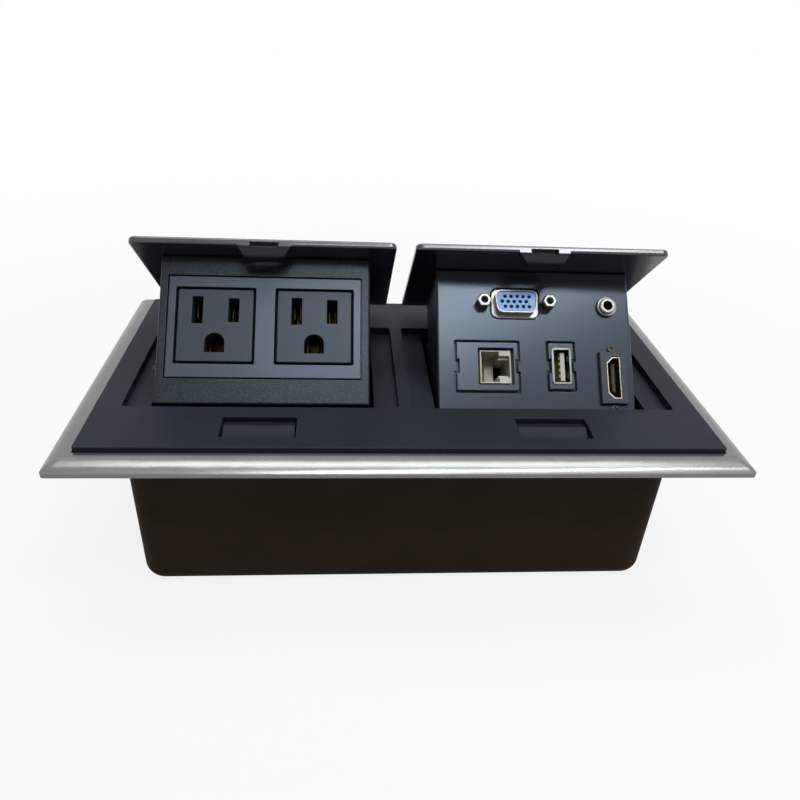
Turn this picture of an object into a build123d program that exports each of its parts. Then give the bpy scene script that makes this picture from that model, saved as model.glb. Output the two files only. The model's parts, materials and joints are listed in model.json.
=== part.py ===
from build123d import *
from math import acos, atan2, copysign, degrees, hypot, pi, radians, sin, sqrt, tan
import os

# Desk connectivity panel with two modules that flip up from a flush panel.
# Units are millimetres. Z = 0 is the desk top, which the trim frame rests on.
# X runs along the panel, Y from front to rear. The origin is the middle of the frame.
# Each module is drawn shut, in the panel's own axes, and its planes are then
# swung about the hinge pin to the open place in which it stands at rest.

# Sides
LEFT = -1
RIGHT = 1
SIDES = (LEFT, RIGHT)
SIDE_NAME = {LEFT: "left", RIGHT: "right"}

# Sizes along the panel, from the outlets outwards. The strip, the case, the
# recess, the panel and the frame are as long as what they hold.
OUTLET_LENGTH = 26.4
OUTLET_BRIDGE = 8.6
OUTLET_GROOVE = 0.9
STRIP_END = 3.0
PLATE_END = 2.8
CASE_SIDE_GAP = 1.8
LEDGE_WIDTH = 8.6
MIDDLE_RIB = 4.8
PANEL_END = 9.0
FRAME_RAIL = 8.0

# Sizes across the panel, from its front edge to its rear edge
NOTCH_SETBACK = 6.0
NOTCH_WIDTH = 12.0
LATCH_BRIDGE = 6.5
LID_GAP_FRONT = 0.5
CASE_REACH = 47.0
SWING_ROOM = 17.6
PIVOT_BACKSET = 14.9
REAR_STRIP = 11.5

# Trim frame
FRAME_HEIGHT = 4.1
FRAME_LIP = 1.5
FRAME_LEDGE = 1.0
FRAME_CORNER = 1.6
CROWN_STEPS = 3
CROWN_FLATNESS = 1.35
SEAT_WIDTH = 2.8
SEAT_HEIGHT = 1.3

# Top panel
PANEL_TOP = 6.0
PANEL_BOTTOM = 1.4
PANEL_SKIN = 2.4
PANEL_WALL = 2.0
PANEL_CORNER = 1.0
PANEL_EDGE = 0.35
PANEL_GAP = 0.1
RECESS_CORNER = 1.4
LEDGE_TOP = 3.1

# Lid
LID_GAP_SIDE = 1.0
LID_THICK = 2.6
LID_CORNER = 2.6
LID_NOSE = 0.9
LID_SCREW_SKIN = 1.0
LIP_TOP_WIDTH = 18.7
LIP_BOTTOM_WIDTH = 13.2
LIP_DROP = 4.4
LIP_THICK = 2.4
LIP_ROUND = 0.9
CATCH_WIDTH = 10.1
CATCH_HEIGHT = 1.9
CATCH_DEPTH_BELOW_TOP = 1.3

# Hinge
OPEN_ANGLE = 42.5
PIVOT_Z = -10.0
PIN_RADIUS = 1.5
PIN_CHAMFER = 0.3
PIN_RUNNING_GAP = 0.05
HUB_RADIUS = 4.5
LUG_RADIUS = 4.5
LUG_THICK = 3.0
LUG_GAP = 0.8
SWING_GAP = 0.4

# Module cases
CASE_WALL = 2.0
CASE_BACK_DROP = 42.0
LEFT_SKIRT_SPAN = 8.0
RIGHT_SKIRT_SPAN = 4.2
LEAD_HOLE_LENGTH = 36.0
LEAD_HOLE_HEIGHT = 12.0
LEAD_HOLE_RISE = 12.0
PLATE_THICK = 2.5
PLATE_ROUND = 0.8
LEFT_FACE_SETBACK = 10.5
RIGHT_FACE_SETBACK = 18.5
LEFT_FACE_HEIGHT = 54.6
RIGHT_FACE_HEIGHT = 59.0
ARM_WIDTH = 8.0
ARM_FOOT_INSET = 3.0
ARM_FOOT_DROP = 29.0
BOSS_RADIUS = 2.6
BOSS_INSET = 5.4
BOSS_PLATE_GAP = 4.4
BOSS_HEIGHT = 6.0
BOSS_RIB = 1.6

# Screws, all of one size
SCREW_RADIUS = 1.25
SCREW_HEAD_RADIUS = 2.4
SCREW_HEAD_HEIGHT = 1.4
SCREW_SHANK_GAP = 0.05
SCREW_HOLE_GAP = 0.2
SCREW_TIP_GAP = 0.3
SCREW_POINT = 0.8
SCREW_END_GAP = 2.2
SCREW_SINK = 0.1
SCREW_RIM_GAP = 0.15
DRIVE_LENGTH = 2.6
DRIVE_WIDTH = 0.6
DRIVE_DEPTH = 0.8

# Housing
HOUSING_DEPTH = 65.0
HOUSING_END_INSET = 9.5
HOUSING_FRONT_INSET = 11.0
HOUSING_WALL = 1.8
HOUSING_CORNER = 9.0
HOUSING_ROUND = 6.0
HOUSING_DRAFT = 0.5
HINGE_REAR_GAP = 0.9
RIM_WIDTH = 2.6
RIM_REAR_WIDTH = 1.0
PANEL_SCREW_INSET = 4.5
PANEL_SCREW_BACKSET = (33.5, 59.5)
PANEL_BOSS_RADIUS = 3.4
PANEL_BOSS_HEIGHT = 16.0

# Latch buttons
NOTCH_LENGTH = 25.0
BUTTON_GAP = 0.6
BUTTON_BED_GAP = 0.3
BUTTON_REAR_HEIGHT = 4.4
RIDGE_BACKSET = 4.0
RIDGE_HEIGHT = 5.3
RIDGE_ROUND = 0.4
SCOOP_HEIGHT = 3.2
SCOOP_SAG = 0.45
BUTTON_FOOT = 0.8
TONGUE_WIDTH = 9.2
TONGUE_HEIGHT = 1.2
TONGUE_REACH = 1.6
TONGUE_NOSE = 1.0
TONGUE_BLUNT = 0.4
TONGUE_GAP = 0.3
LEAF_THICK = 0.3
LEAF_HEIGHT = 1.2
LEAF_HALF_SPAN = 9.0
LEAF_SEAT_GAP = 0.02
LEAF_RISE = 0.1
RAIL_THICK = 1.6

# Lift springs
SPRING_WIRE = 1.2
SPRING_RADIUS = 3.9
SPRING_TURNS = 4.5
SPRING_PITCH = 1.7
SPRING_ARM_GAP = 0.75

# Cable grommets
GROMMET_X = 50.0
GROMMET_Z = -42.0
GROMMET_HOLE = 7.0
GROMMET_BORE = 4.5
GROMMET_FLANGE = 9.0
GROMMET_LIP = 1.6
GROMMET_CHAMFER = 0.6
GROMMET_SEAT_GAP = 0.1

# Moulded parts of the faces
SOFT_EDGE = 0.3
FIT_GAP = 0.05

# Outlet face, with drops measured down from the lid's underside
STRIP_HEIGHT = 38.1
STRIP_DROP = 26.45
STRIP_GROOVE = 0.4
STRIP_FLANGE = 1.5
STRIP_FLANGE_REACH = 1.5
OUTLET_DROP = 26.0
OUTLET_HEIGHT = 26.6
OUTLET_CORNER = 0.6
OUTLET_FLANGE = 1.5
OUTLET_FLANGE_REACH = 2.1
OUTLET_DEPTH = 9.0
BLADE_SPACING = 12.7
BLADE_DROP = 20.4
BLADE_SLOT_WIDTH = 3.8
NEUTRAL_SLOT_HEIGHT = 10.1
HOT_SLOT_HEIGHT = 8.9
GROUND_DROP = 32.4
GROUND_WIDTH = 7.0
GROUND_HEIGHT = 7.1
POCKET_DEPTH = 5.5
BLADE_POCKET_WIDTH = 5.0
BLADE_POCKET_HEIGHT = 11.0
GROUND_POCKET = 8.4

# Brass contacts behind the outlets
CONTACT_THICK = 0.5
CONTACT_MOUTH = 6.2
CONTACT_BASE = 14.4
CONTACT_FLARE = 0.7
CLIP_HEIGHT = 6.2
CLIP_PINCH = 2.0
CLIP_JAW = 5.0
BLADE_PINCH = 0.45
GROUND_PINCH = 1.9
NEUTRAL_CLIP_RISE = 1.7
NEUTRAL_BAR_RISE = 4.0
HOT_CLIP_FALL = 1.3
HOT_BAR_FALL = 3.4
GROUND_BAR_FALL = 1.9
BAR_HEIGHT = 2.4
BAR_END = 1.35
BAR_LAND = 2.5
TERMINAL_REACH = 4.65
BACK_WALL = 1.6
BACK_RIM_GAP = 0.3
TERMINAL_RADIUS = 0.9
TERMINAL_HEAD = 2.2
TERMINAL_GAP = 0.05

# Data face: each place is a distance from the middle and a drop
VIDEO_PLACE = (-7.3, 13.2)
VIDEO_SHELL_LENGTH = 17.0
VIDEO_SHELL_HEIGHT = 8.9
VIDEO_COLLAR_LENGTH = 18.6
VIDEO_COLLAR_HEIGHT = 11.8
VIDEO_COLLAR_CORNER = 2.8
VIDEO_COLLAR_ROUND = 0.5
VIDEO_COLLAR_GAP = 0.4
VIDEO_FLANGE_LENGTH = 30.8
VIDEO_FLANGE_HEIGHT = 12.5
VIDEO_FLANGE_CORNER = 1.5
VIDEO_FLANGE_THICK = 0.8
VIDEO_WALL = 0.5
VIDEO_CORNER = 2.6
VIDEO_PROUD = 3.2
VIDEO_INSERT_SINK = 0.5
VIDEO_SLOPE = 8.0
VIDEO_COLUMNS = 5
VIDEO_PIN_PITCH = 2.3
VIDEO_ROW_PITCH = 1.98
VIDEO_ROW_SHIFT = 0.3
VIDEO_PIN_RADIUS = 0.7
VIDEO_PIN_DEPTH = 4.5
VIDEO_BODY_LENGTH = 19.0
VIDEO_BODY_HEIGHT = 10.8
VIDEO_BODY_DEPTH = 5.0
VIDEO_TAILS = 8
VIDEO_TAIL_RADIUS = 0.45
VIDEO_TAIL_PITCH = 2.5
VIDEO_TAIL_DEPTH = 2.5
POST_SPACING = 25.0
POST_ACROSS = 4.8
POST_PROUD = 4.5
POST_BORE = 1.42
POST_BORE_DEPTH = 3.5
POST_TAIL = 2.0
POST_HOLE_GAP = 0.1
AUDIO_PLACE = (28.3, 14.0)
AUDIO_BORE = 1.8
AUDIO_SLEEVE = 3.0
AUDIO_NUT = 3.9
AUDIO_NUT_THICK = 1.4
AUDIO_PROUD = 2.5
AUDIO_BODY_LENGTH = 8.6
AUDIO_BODY_HEIGHT = 10.4
AUDIO_BODY_DEPTH = 12.0
AUDIO_BORE_DEPTH = 10.5
NETWORK_PLACE = (-18.6, 37.95)
NETWORK_BEZEL_LENGTH = 23.3
NETWORK_BEZEL_HEIGHT = 18.6
NETWORK_PORT_PLACE = (-15.45, 37.9)
NETWORK_WINDOW_LENGTH = 13.5
NETWORK_WINDOW_HEIGHT = 14.1
NETWORK_NOSE_SINK = 0.6
NETWORK_BODY_LENGTH = 15.4
NETWORK_BODY_HEIGHT = 16.0
NETWORK_WALL = 0.45
NETWORK_PLUG_WIDTH = 11.7
NETWORK_PLUG_THICK = 6.8
NETWORK_LATCH_THICK = 4.0
NETWORK_LATCH_HEIGHT = 6.2
NETWORK_LEAD_IN_HEIGHT = 8.4
NETWORK_LEAD_IN_DEPTH = 2.5
NETWORK_CAVITY_DEPTH = 12.0
NETWORK_DEPTH = 16.0
NETWORK_LEADS = 8
NETWORK_PITCH = 1.02
NETWORK_WIRE = 0.4
NETWORK_WIRE_FOOT = (0.25, 1.2)
NETWORK_WIRE_BEND = (2.7, 9.0)
NETWORK_WIRE_TIP = 1.9
USB_PLACE = (9.6, 37.6)
USB_BEZEL_LENGTH = 9.6
USB_BEZEL_HEIGHT = 17.9
USB_SHELL_LENGTH = 6.6
USB_SHELL_HEIGHT = 13.2
USB_WALL = 0.35
USB_LIP = 0.4
USB_LIP_CORNER = 1.2
USB_DEPTH = 12.0
USB_FOOT = 3.0
USB_TONGUE_THICK = 1.7
USB_TONGUE_HEIGHT = 10.9
USB_TONGUE_SINK = 0.9
USB_TONGUE_OFFSET = 0.1
USB_PITCH = 2.3
USB_LEADS = 4
USB_LEAD_THICK = 0.3
USB_LEAD_HEIGHT = 1.1
USB_LEAD_SINK = 1.6
MEDIA_PLACE = (29.15, 42.2)
MEDIA_BLOCK_LENGTH = 10.3
MEDIA_BLOCK_HEIGHT = 20.0
MEDIA_BLOCK_ROUND = 0.4
BLOCK_GAP = 0.1
MEDIA_PROUD = 2.0
MEDIA_SHELL_LENGTH = 5.2
MEDIA_SHELL_HEIGHT = 16.0
MEDIA_CORNER = 2.2
MEDIA_WALL = 0.35
MEDIA_SHELL_SINK = 0.2
MEDIA_DEPTH = 10.0
MEDIA_FOOT = 3.0
MEDIA_TONGUE_THICK = 1.1
MEDIA_TONGUE_HEIGHT = 11.0
MEDIA_TONGUE_SINK = 1.0
MEDIA_FLANGE_SIDE = 0.5
MEDIA_SCREW_SPACING = 23.4
MEDIA_SCREW_HEAD = 1.5
MEDIA_SCREW_HEAD_HEIGHT = 0.8
MEDIA_SCREW_HOLE = 0.9
MEDIA_SCREW_TAIL = 1.0
MEDIA_DRIVE_LENGTH = 2.0
MEDIA_DRIVE_WIDTH = 0.5
BEZEL_GROOVE = 0.9
BEZEL_CORNER = 0.8
BEZEL_PROUD = 0.4
BEZEL_NOTCH_DEPTH = 0.9
BEZEL_NOTCH_HEIGHT = 5.4
BEZEL_FLANGE = 1.5
BEZEL_FLANGE_REACH = 2.0

# Lengths along the panel that follow from the sizes above
OUTLET_X = (OUTLET_LENGTH + OUTLET_BRIDGE) / 2
STRIP_LENGTH = 2 * OUTLET_X + OUTLET_LENGTH + 2 * OUTLET_GROOVE + 2 * STRIP_END
CASE_WIDTH = STRIP_LENGTH + 2 * PLATE_END
CASE_HALF = CASE_WIDTH / 2
OPENING_LENGTH = CASE_WIDTH + 2 * CASE_SIDE_GAP
RECESS_LENGTH = OPENING_LENGTH + 2 * LEDGE_WIDTH
MODULE_X = (RECESS_LENGTH + MIDDLE_RIB) / 2
PANEL_LENGTH = 2 * RECESS_LENGTH + MIDDLE_RIB + 2 * PANEL_END
FRAME_LENGTH = PANEL_LENGTH + 2 * FRAME_RAIL
HOUSING_LENGTH = PANEL_LENGTH - 2 * HOUSING_END_INSET
LID_LENGTH = RECESS_LENGTH - 2 * LID_GAP_SIDE
BLADE_OFFSET = BLADE_SPACING / 2
BAR_NEAR_END = OUTLET_X - BLADE_OFFSET + BAR_END
TERMINAL_X = OUTLET_X + BLADE_OFFSET + TERMINAL_REACH
BAR_FAR_END = TERMINAL_X + BAR_LAND
LUG_START = CASE_HALF + LUG_GAP
PIN_HALF = LUG_START + LUG_THICK
SPRING_X = CASE_HALF - CASE_WALL - SPRING_ARM_GAP - SPRING_WIRE / 2 - SPRING_PITCH * SPRING_TURNS
BUTTON_HALF = NOTCH_LENGTH / 2 - BUTTON_GAP

# Places across the panel that follow from the sizes above
RECESS_WIDTH = LID_GAP_FRONT + CASE_REACH + SWING_ROOM
PANEL_WIDTH = NOTCH_SETBACK + NOTCH_WIDTH + LATCH_BRIDGE + RECESS_WIDTH + PIVOT_BACKSET + REAR_STRIP
FRAME_WIDTH = PANEL_WIDTH + 2 * FRAME_RAIL
PANEL_FRONT = -PANEL_WIDTH / 2
NOTCH_FRONT = PANEL_FRONT + NOTCH_SETBACK
NOTCH_REAR = NOTCH_FRONT + NOTCH_WIDTH
NOTCH_MID = (NOTCH_FRONT + NOTCH_REAR) / 2
RECESS_FRONT = NOTCH_REAR + LATCH_BRIDGE
RECESS_REAR = RECESS_FRONT + RECESS_WIDTH
RECESS_MID = (RECESS_REAR + RECESS_FRONT) / 2
PIVOT_Y = RECESS_REAR + PIVOT_BACKSET
LID_FRONT = RECESS_FRONT + LID_GAP_FRONT
EDGE_RADIUS = hypot(PIVOT_Y - RECESS_REAR, PANEL_TOP - PIVOT_Z)
LID_REAR_RADIUS = EDGE_RADIUS + SWING_GAP
LID_REAR = PIVOT_Y - sqrt(LID_REAR_RADIUS**2 - (PANEL_TOP - PIVOT_Z) ** 2)
LID_WIDTH = LID_REAR - LID_FRONT
CASE_BACK = LID_FRONT + CASE_REACH
FACE_Y = {LEFT: LID_FRONT + LEFT_FACE_SETBACK, RIGHT: LID_FRONT + RIGHT_FACE_SETBACK}
HOUSING_FRONT = PANEL_FRONT + HOUSING_FRONT_INSET
HOUSING_REAR = PIVOT_Y + LUG_RADIUS + HINGE_REAR_GAP + HOUSING_WALL
HOUSING_MID = (HOUSING_REAR + HOUSING_FRONT) / 2
HOUSING_WIDTH = HOUSING_REAR - HOUSING_FRONT
BUTTON_REAR = NOTCH_REAR - BUTTON_GAP
BUTTON_FRONT = NOTCH_FRONT - BUTTON_FOOT
TONGUE_TIP = RECESS_FRONT + TONGUE_REACH

# Heights that follow from the sizes above
SKIN_UNDER = PANEL_TOP - PANEL_SKIN
LID_UNDER = PANEL_TOP - LID_THICK
FACE_HEIGHT = {LEFT: LEFT_FACE_HEIGHT, RIGHT: RIGHT_FACE_HEIGHT}
SKIRT_SPAN = {LEFT: LEFT_SKIRT_SPAN, RIGHT: RIGHT_SKIRT_SPAN}
FACE_BOTTOM = {side: LID_UNDER - FACE_HEIGHT[side] for side in SIDES}
BUTTON_BOTTOM = PANEL_BOTTOM + BUTTON_BED_GAP
TONGUE_BOTTOM = BUTTON_REAR_HEIGHT - TONGUE_HEIGHT

# Outlines used by more than one piece of the data face
VIDEO_SHELL = (VIDEO_SHELL_LENGTH, VIDEO_SHELL_HEIGHT)
VIDEO_BORE = (VIDEO_SHELL_LENGTH - 2 * VIDEO_WALL, VIDEO_SHELL_HEIGHT - 2 * VIDEO_WALL)
NETWORK_BEZEL = (NETWORK_BEZEL_LENGTH, NETWORK_BEZEL_HEIGHT)
NETWORK_WINDOW = (NETWORK_WINDOW_LENGTH, NETWORK_WINDOW_HEIGHT)
NETWORK_NOSE_LENGTH = NETWORK_PLUG_THICK + NETWORK_LATCH_THICK + 2 * NETWORK_WALL
NETWORK_NOSE_HEIGHT = NETWORK_PLUG_WIDTH + 2 * NETWORK_WALL
USB_BEZEL = (USB_BEZEL_LENGTH, USB_BEZEL_HEIGHT)
USB_SHELL = (USB_SHELL_LENGTH, USB_SHELL_HEIGHT)
USB_BORE = (USB_SHELL_LENGTH - 2 * USB_WALL, USB_SHELL_HEIGHT - 2 * USB_WALL)


def finish(builder, name):
    """Labels a finished sub-part and writes it to its own file."""
    builder.part.label = name
    export_step(builder.part, f"parts/{name}.step")


def opened(plane, side):
    """Swings a plane of the shut module to where the open module holds it."""
    pivot = Location((side * MODULE_X, PIVOT_Y, PIVOT_Z))
    swing = Location((0, 0, 0), (-OPEN_ANGLE, 0, 0))
    shut = Location((0, -PIVOT_Y, -PIVOT_Z))
    return Plane(pivot * swing * shut * plane.location)


def level(side, height):
    """Plane parallel to the lid, at a height of the shut module."""
    return opened(Plane.XY.offset(height), side)


def facing(side, y):
    """Plane parallel to the module's face, looking forward, at a depth of the shut module."""
    return opened(Plane.XZ.offset(-y), side)


def flank(side, x):
    """Plane square to the hinge pin, at a distance from the module's middle."""
    return opened(Plane.YZ.offset(x), side)


def drop(amount):
    """Height of the shut module at a drop below the lid's underside."""
    return LID_UNDER - amount


def deep(side, depth):
    """Plane parallel to the module's face, at a depth behind its front."""
    return facing(side, FACE_Y[side] + depth)


def outward(side):
    """Direction out of the module's face."""
    return Axis((0, 0, 0), facing(side, 0).z_dir)


# Trim frame


def make_trim_frame():
    crown_inset = FRAME_RAIL - FRAME_LEDGE
    crown_rise = FRAME_HEIGHT - FRAME_LIP
    with BuildPart() as frame:
        with BuildSketch():
            RectangleRounded(FRAME_LENGTH, FRAME_WIDTH, FRAME_CORNER)
        extrude(amount=FRAME_LIP)
        # The crown follows a flattened arc from the lip to the ledge
        for step in range(CROWN_STEPS + 1):
            share = step / CROWN_STEPS
            inset = crown_inset * share**CROWN_FLATNESS
            height = FRAME_LIP + crown_rise * sin(share * pi / 2)
            with BuildSketch(Plane.XY.offset(height)):
                RectangleRounded(FRAME_LENGTH - 2 * inset, FRAME_WIDTH - 2 * inset, FRAME_CORNER)
        loft()
        with BuildSketch(Plane.XY.offset(SEAT_HEIGHT)):
            Rectangle(PANEL_LENGTH + 2 * PANEL_GAP, PANEL_WIDTH + 2 * PANEL_GAP)
        extrude(amount=FRAME_HEIGHT, mode=Mode.SUBTRACT)
        with BuildSketch():
            Rectangle(PANEL_LENGTH - 2 * SEAT_WIDTH, PANEL_WIDTH - 2 * SEAT_WIDTH)
        extrude(amount=FRAME_HEIGHT, mode=Mode.SUBTRACT)
    finish(frame, "trim_frame")


# Top panel


def recess_places():
    return [(side * MODULE_X, RECESS_MID) for side in SIDES]


def notch_places():
    return [(side * MODULE_X, NOTCH_MID) for side in SIDES]


def panel_screw_places():
    reach = MODULE_X + RECESS_LENGTH / 2 - PANEL_SCREW_INSET
    return [(side * reach, RECESS_FRONT + backset) for side in SIDES for backset in PANEL_SCREW_BACKSET]


def make_top_panel():
    with BuildPart() as panel:
        with BuildSketch(Plane.XY.offset(PANEL_BOTTOM)):
            RectangleRounded(PANEL_LENGTH, PANEL_WIDTH, PANEL_CORNER)
        extrude(amount=PANEL_TOP - PANEL_BOTTOM)
        fillet(panel.faces().sort_by(Axis.Z)[-1].edges(), PANEL_EDGE)

        # Hollow underside, which leaves walls round the recesses and rails beside the buttons
        with BuildSketch(Plane.XY.offset(PANEL_BOTTOM)):
            Rectangle(PANEL_LENGTH - 2 * PANEL_WALL, PANEL_WIDTH - 2 * PANEL_WALL)
            with Locations(*recess_places()):
                Rectangle(RECESS_LENGTH + 2 * PANEL_WALL, RECESS_WIDTH + 2 * PANEL_WALL, mode=Mode.SUBTRACT)
            rail_out = NOTCH_LENGTH / 2 + RAIL_THICK / 2
            rail_end = PANEL_WIDTH / 2 - PANEL_WALL
            with Locations(*[(x + hand * rail_out, (NOTCH_REAR - rail_end) / 2)
                             for x, _ in notch_places() for hand in SIDES]):
                Rectangle(RAIL_THICK, rail_end + NOTCH_REAR, mode=Mode.SUBTRACT)
        extrude(amount=SKIN_UNDER - PANEL_BOTTOM, mode=Mode.SUBTRACT)

        # Lid recesses and the openings that the modules swing through
        with BuildSketch(Plane.XY.offset(LEDGE_TOP)):
            with Locations(*recess_places()):
                RectangleRounded(RECESS_LENGTH, RECESS_WIDTH, RECESS_CORNER)
        extrude(amount=PANEL_TOP - LEDGE_TOP, mode=Mode.SUBTRACT)
        with BuildSketch(Plane.XY.offset(PANEL_BOTTOM)):
            with Locations(*recess_places()):
                Rectangle(OPENING_LENGTH, RECESS_WIDTH)
        extrude(amount=PANEL_TOP - PANEL_BOTTOM, mode=Mode.SUBTRACT)

        # Button notches and the channels that the latch tongues run in
        with BuildSketch(Plane.XY.offset(PANEL_BOTTOM)):
            with Locations(*notch_places()):
                Rectangle(NOTCH_LENGTH, NOTCH_WIDTH)
        extrude(amount=PANEL_TOP - PANEL_BOTTOM, mode=Mode.SUBTRACT)
        with BuildSketch(Plane.XY.offset(TONGUE_BOTTOM - TONGUE_GAP)):
            with Locations(*[(x, (NOTCH_REAR + RECESS_FRONT) / 2) for x, _ in notch_places()]):
                Rectangle(TONGUE_WIDTH + 2 * TONGUE_GAP, RECESS_FRONT - NOTCH_REAR)
        extrude(amount=TONGUE_HEIGHT + 2 * TONGUE_GAP, mode=Mode.SUBTRACT)

        # Screw holes through the outer ledges
        with Locations(*[(x, y, LEDGE_TOP) for x, y in panel_screw_places()]):
            CounterSinkHole(SCREW_RADIUS + SCREW_HOLE_GAP, SCREW_HEAD_RADIUS, depth=LEDGE_TOP)

        # Hinge lugs under the rear strip
        for side in SIDES:
            for start in (-PIN_HALF, LUG_START):
                with BuildSketch(Plane.YZ.offset(side * MODULE_X + start)):
                    with Locations((PIVOT_Y, PIVOT_Z)):
                        Circle(LUG_RADIUS)
                    with Locations((PIVOT_Y, (PIVOT_Z + SKIN_UNDER) / 2)):
                        Rectangle(2 * LUG_RADIUS, SKIN_UNDER - PIVOT_Z)
                    with Locations((PIVOT_Y, PIVOT_Z)):
                        Circle(PIN_RADIUS, mode=Mode.SUBTRACT)
                extrude(amount=LUG_THICK)
    finish(panel, "top_panel")


# Housing


def housing_outline(inset):
    with Locations((0, HOUSING_MID)):
        RectangleRounded(HOUSING_LENGTH - 2 * inset, HOUSING_WIDTH - 2 * inset, HOUSING_CORNER - inset)


def make_housing():
    with BuildPart() as housing:
        with BuildSketch():
            housing_outline(0)
        extrude(amount=-HOUSING_DEPTH, taper=HOUSING_DRAFT)
        fillet(housing.faces().sort_by(Axis.Z)[0].edges(), HOUSING_ROUND)
        with BuildSketch():
            housing_outline(HOUSING_WALL)
        extrude(amount=HOUSING_WALL - HOUSING_DEPTH, taper=HOUSING_DRAFT, mode=Mode.SUBTRACT)
        floor = housing.faces().filter_by(Axis.Z).sort_by(Axis.Z)[1]
        fillet(floor.edges(), HOUSING_ROUND - HOUSING_WALL)

        # Rim that lies against the panel's underside, narrower at the rear
        with BuildSketch():
            with Locations((0, HOUSING_MID - (RIM_WIDTH - RIM_REAR_WIDTH) / 2)):
                RectangleRounded(HOUSING_LENGTH + 2 * RIM_WIDTH,
                                 HOUSING_WIDTH + RIM_WIDTH + RIM_REAR_WIDTH, HOUSING_CORNER + RIM_WIDTH)
            with Locations((0, HOUSING_MID)):
                RectangleRounded(HOUSING_LENGTH - 2 * HOUSING_WALL,
                                 HOUSING_WIDTH - 2 * HOUSING_WALL, HOUSING_CORNER - HOUSING_WALL,
                                 mode=Mode.SUBTRACT)
        extrude(amount=PANEL_BOTTOM)

        # Bosses for the panel screws, merged with the end walls
        with BuildSketch(Plane.XY.offset(PANEL_BOTTOM)):
            with Locations(*panel_screw_places()):
                Circle(PANEL_BOSS_RADIUS)
        extrude(amount=-PANEL_BOSS_HEIGHT)
        with BuildSketch(Plane.XY.offset(PANEL_BOTTOM)):
            with Locations(*panel_screw_places()):
                Circle(SCREW_RADIUS)
        extrude(amount=-PANEL_BOSS_HEIGHT, mode=Mode.SUBTRACT)

        # Cable entries through the rear wall
        with BuildSketch(Plane.XZ.offset(-HOUSING_REAR)):
            with Locations(*[(side * GROMMET_X, GROMMET_Z) for side in SIDES]):
                Circle(GROMMET_HOLE)
        extrude(amount=2 * HOUSING_WALL, mode=Mode.SUBTRACT)
    finish(housing, "housing")


def rear_wall_y(height):
    """Outer face of the drafted rear wall at a height."""
    return HOUSING_REAR + height * tan(radians(HOUSING_DRAFT))


def make_cable_grommets():
    outer = rear_wall_y(GROMMET_Z) + GROMMET_SEAT_GAP
    inner = outer - HOUSING_WALL - 2 * GROMMET_SEAT_GAP
    far, near = outer + GROMMET_LIP, inner - GROMMET_LIP
    with BuildPart() as grommets:
        for side in SIDES:
            x = side * GROMMET_X
            bore, waist, flange = x + GROMMET_BORE, x + GROMMET_HOLE - GROMMET_SEAT_GAP, x + GROMMET_FLANGE
            with BuildSketch(Plane.XY.offset(GROMMET_Z)):
                with BuildLine():
                    Polyline((bore, near), (flange - GROMMET_CHAMFER, near),
                             (flange, near + GROMMET_CHAMFER), (flange, inner),
                             (waist, inner), (waist, outer),
                             (flange, outer), (flange, far - GROMMET_CHAMFER),
                             (flange - GROMMET_CHAMFER, far), (bore, far), close=True)
                make_face()
            revolve(axis=Axis((x, 0, GROMMET_Z), (0, 1, 0)))
    finish(grommets, "cable_grommets")


def cross_drive(length, width):
    """Cross in a screw's head."""
    Rectangle(length, width)
    Rectangle(width, length)


def make_panel_screws():
    head_top = LEDGE_TOP - SCREW_SINK
    head_bottom = LEDGE_TOP - SCREW_HEAD_HEIGHT
    tip = PANEL_BOTTOM - PANEL_BOSS_HEIGHT + SCREW_END_GAP
    with BuildPart() as screws:
        for x, y in panel_screw_places():
            head, shank = x + SCREW_HEAD_RADIUS - SCREW_RIM_GAP, x + SCREW_RADIUS - SCREW_SHANK_GAP
            with BuildSketch(Plane.XZ.offset(-y)):
                with BuildLine():
                    Polyline((x, head_top), (head, head_top), (shank, head_bottom),
                             (shank, tip + SCREW_POINT), (x, tip), close=True)
                make_face()
            revolve(axis=Axis((x, y, 0), (0, 0, 1)))
        with BuildSketch(Plane.XY.offset(head_top)):
            with Locations(*panel_screw_places()):
                cross_drive(DRIVE_LENGTH, DRIVE_WIDTH)
        extrude(amount=-DRIVE_DEPTH, mode=Mode.SUBTRACT)
    finish(screws, "panel_screws")


# Hinge pins and lift springs


def make_hinge_pin(side):
    with BuildPart() as pin:
        with BuildSketch(Plane.YZ.offset(side * MODULE_X - PIN_HALF)):
            with Locations((PIVOT_Y, PIVOT_Z)):
                Circle(PIN_RADIUS)
        extrude(amount=2 * PIN_HALF)
        chamfer(pin.edges().filter_by(GeomType.CIRCLE), PIN_CHAMFER)
    finish(pin, f"{SIDE_NAME[side]}_hinge_pin")


# Latch buttons and their leaf springs


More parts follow.
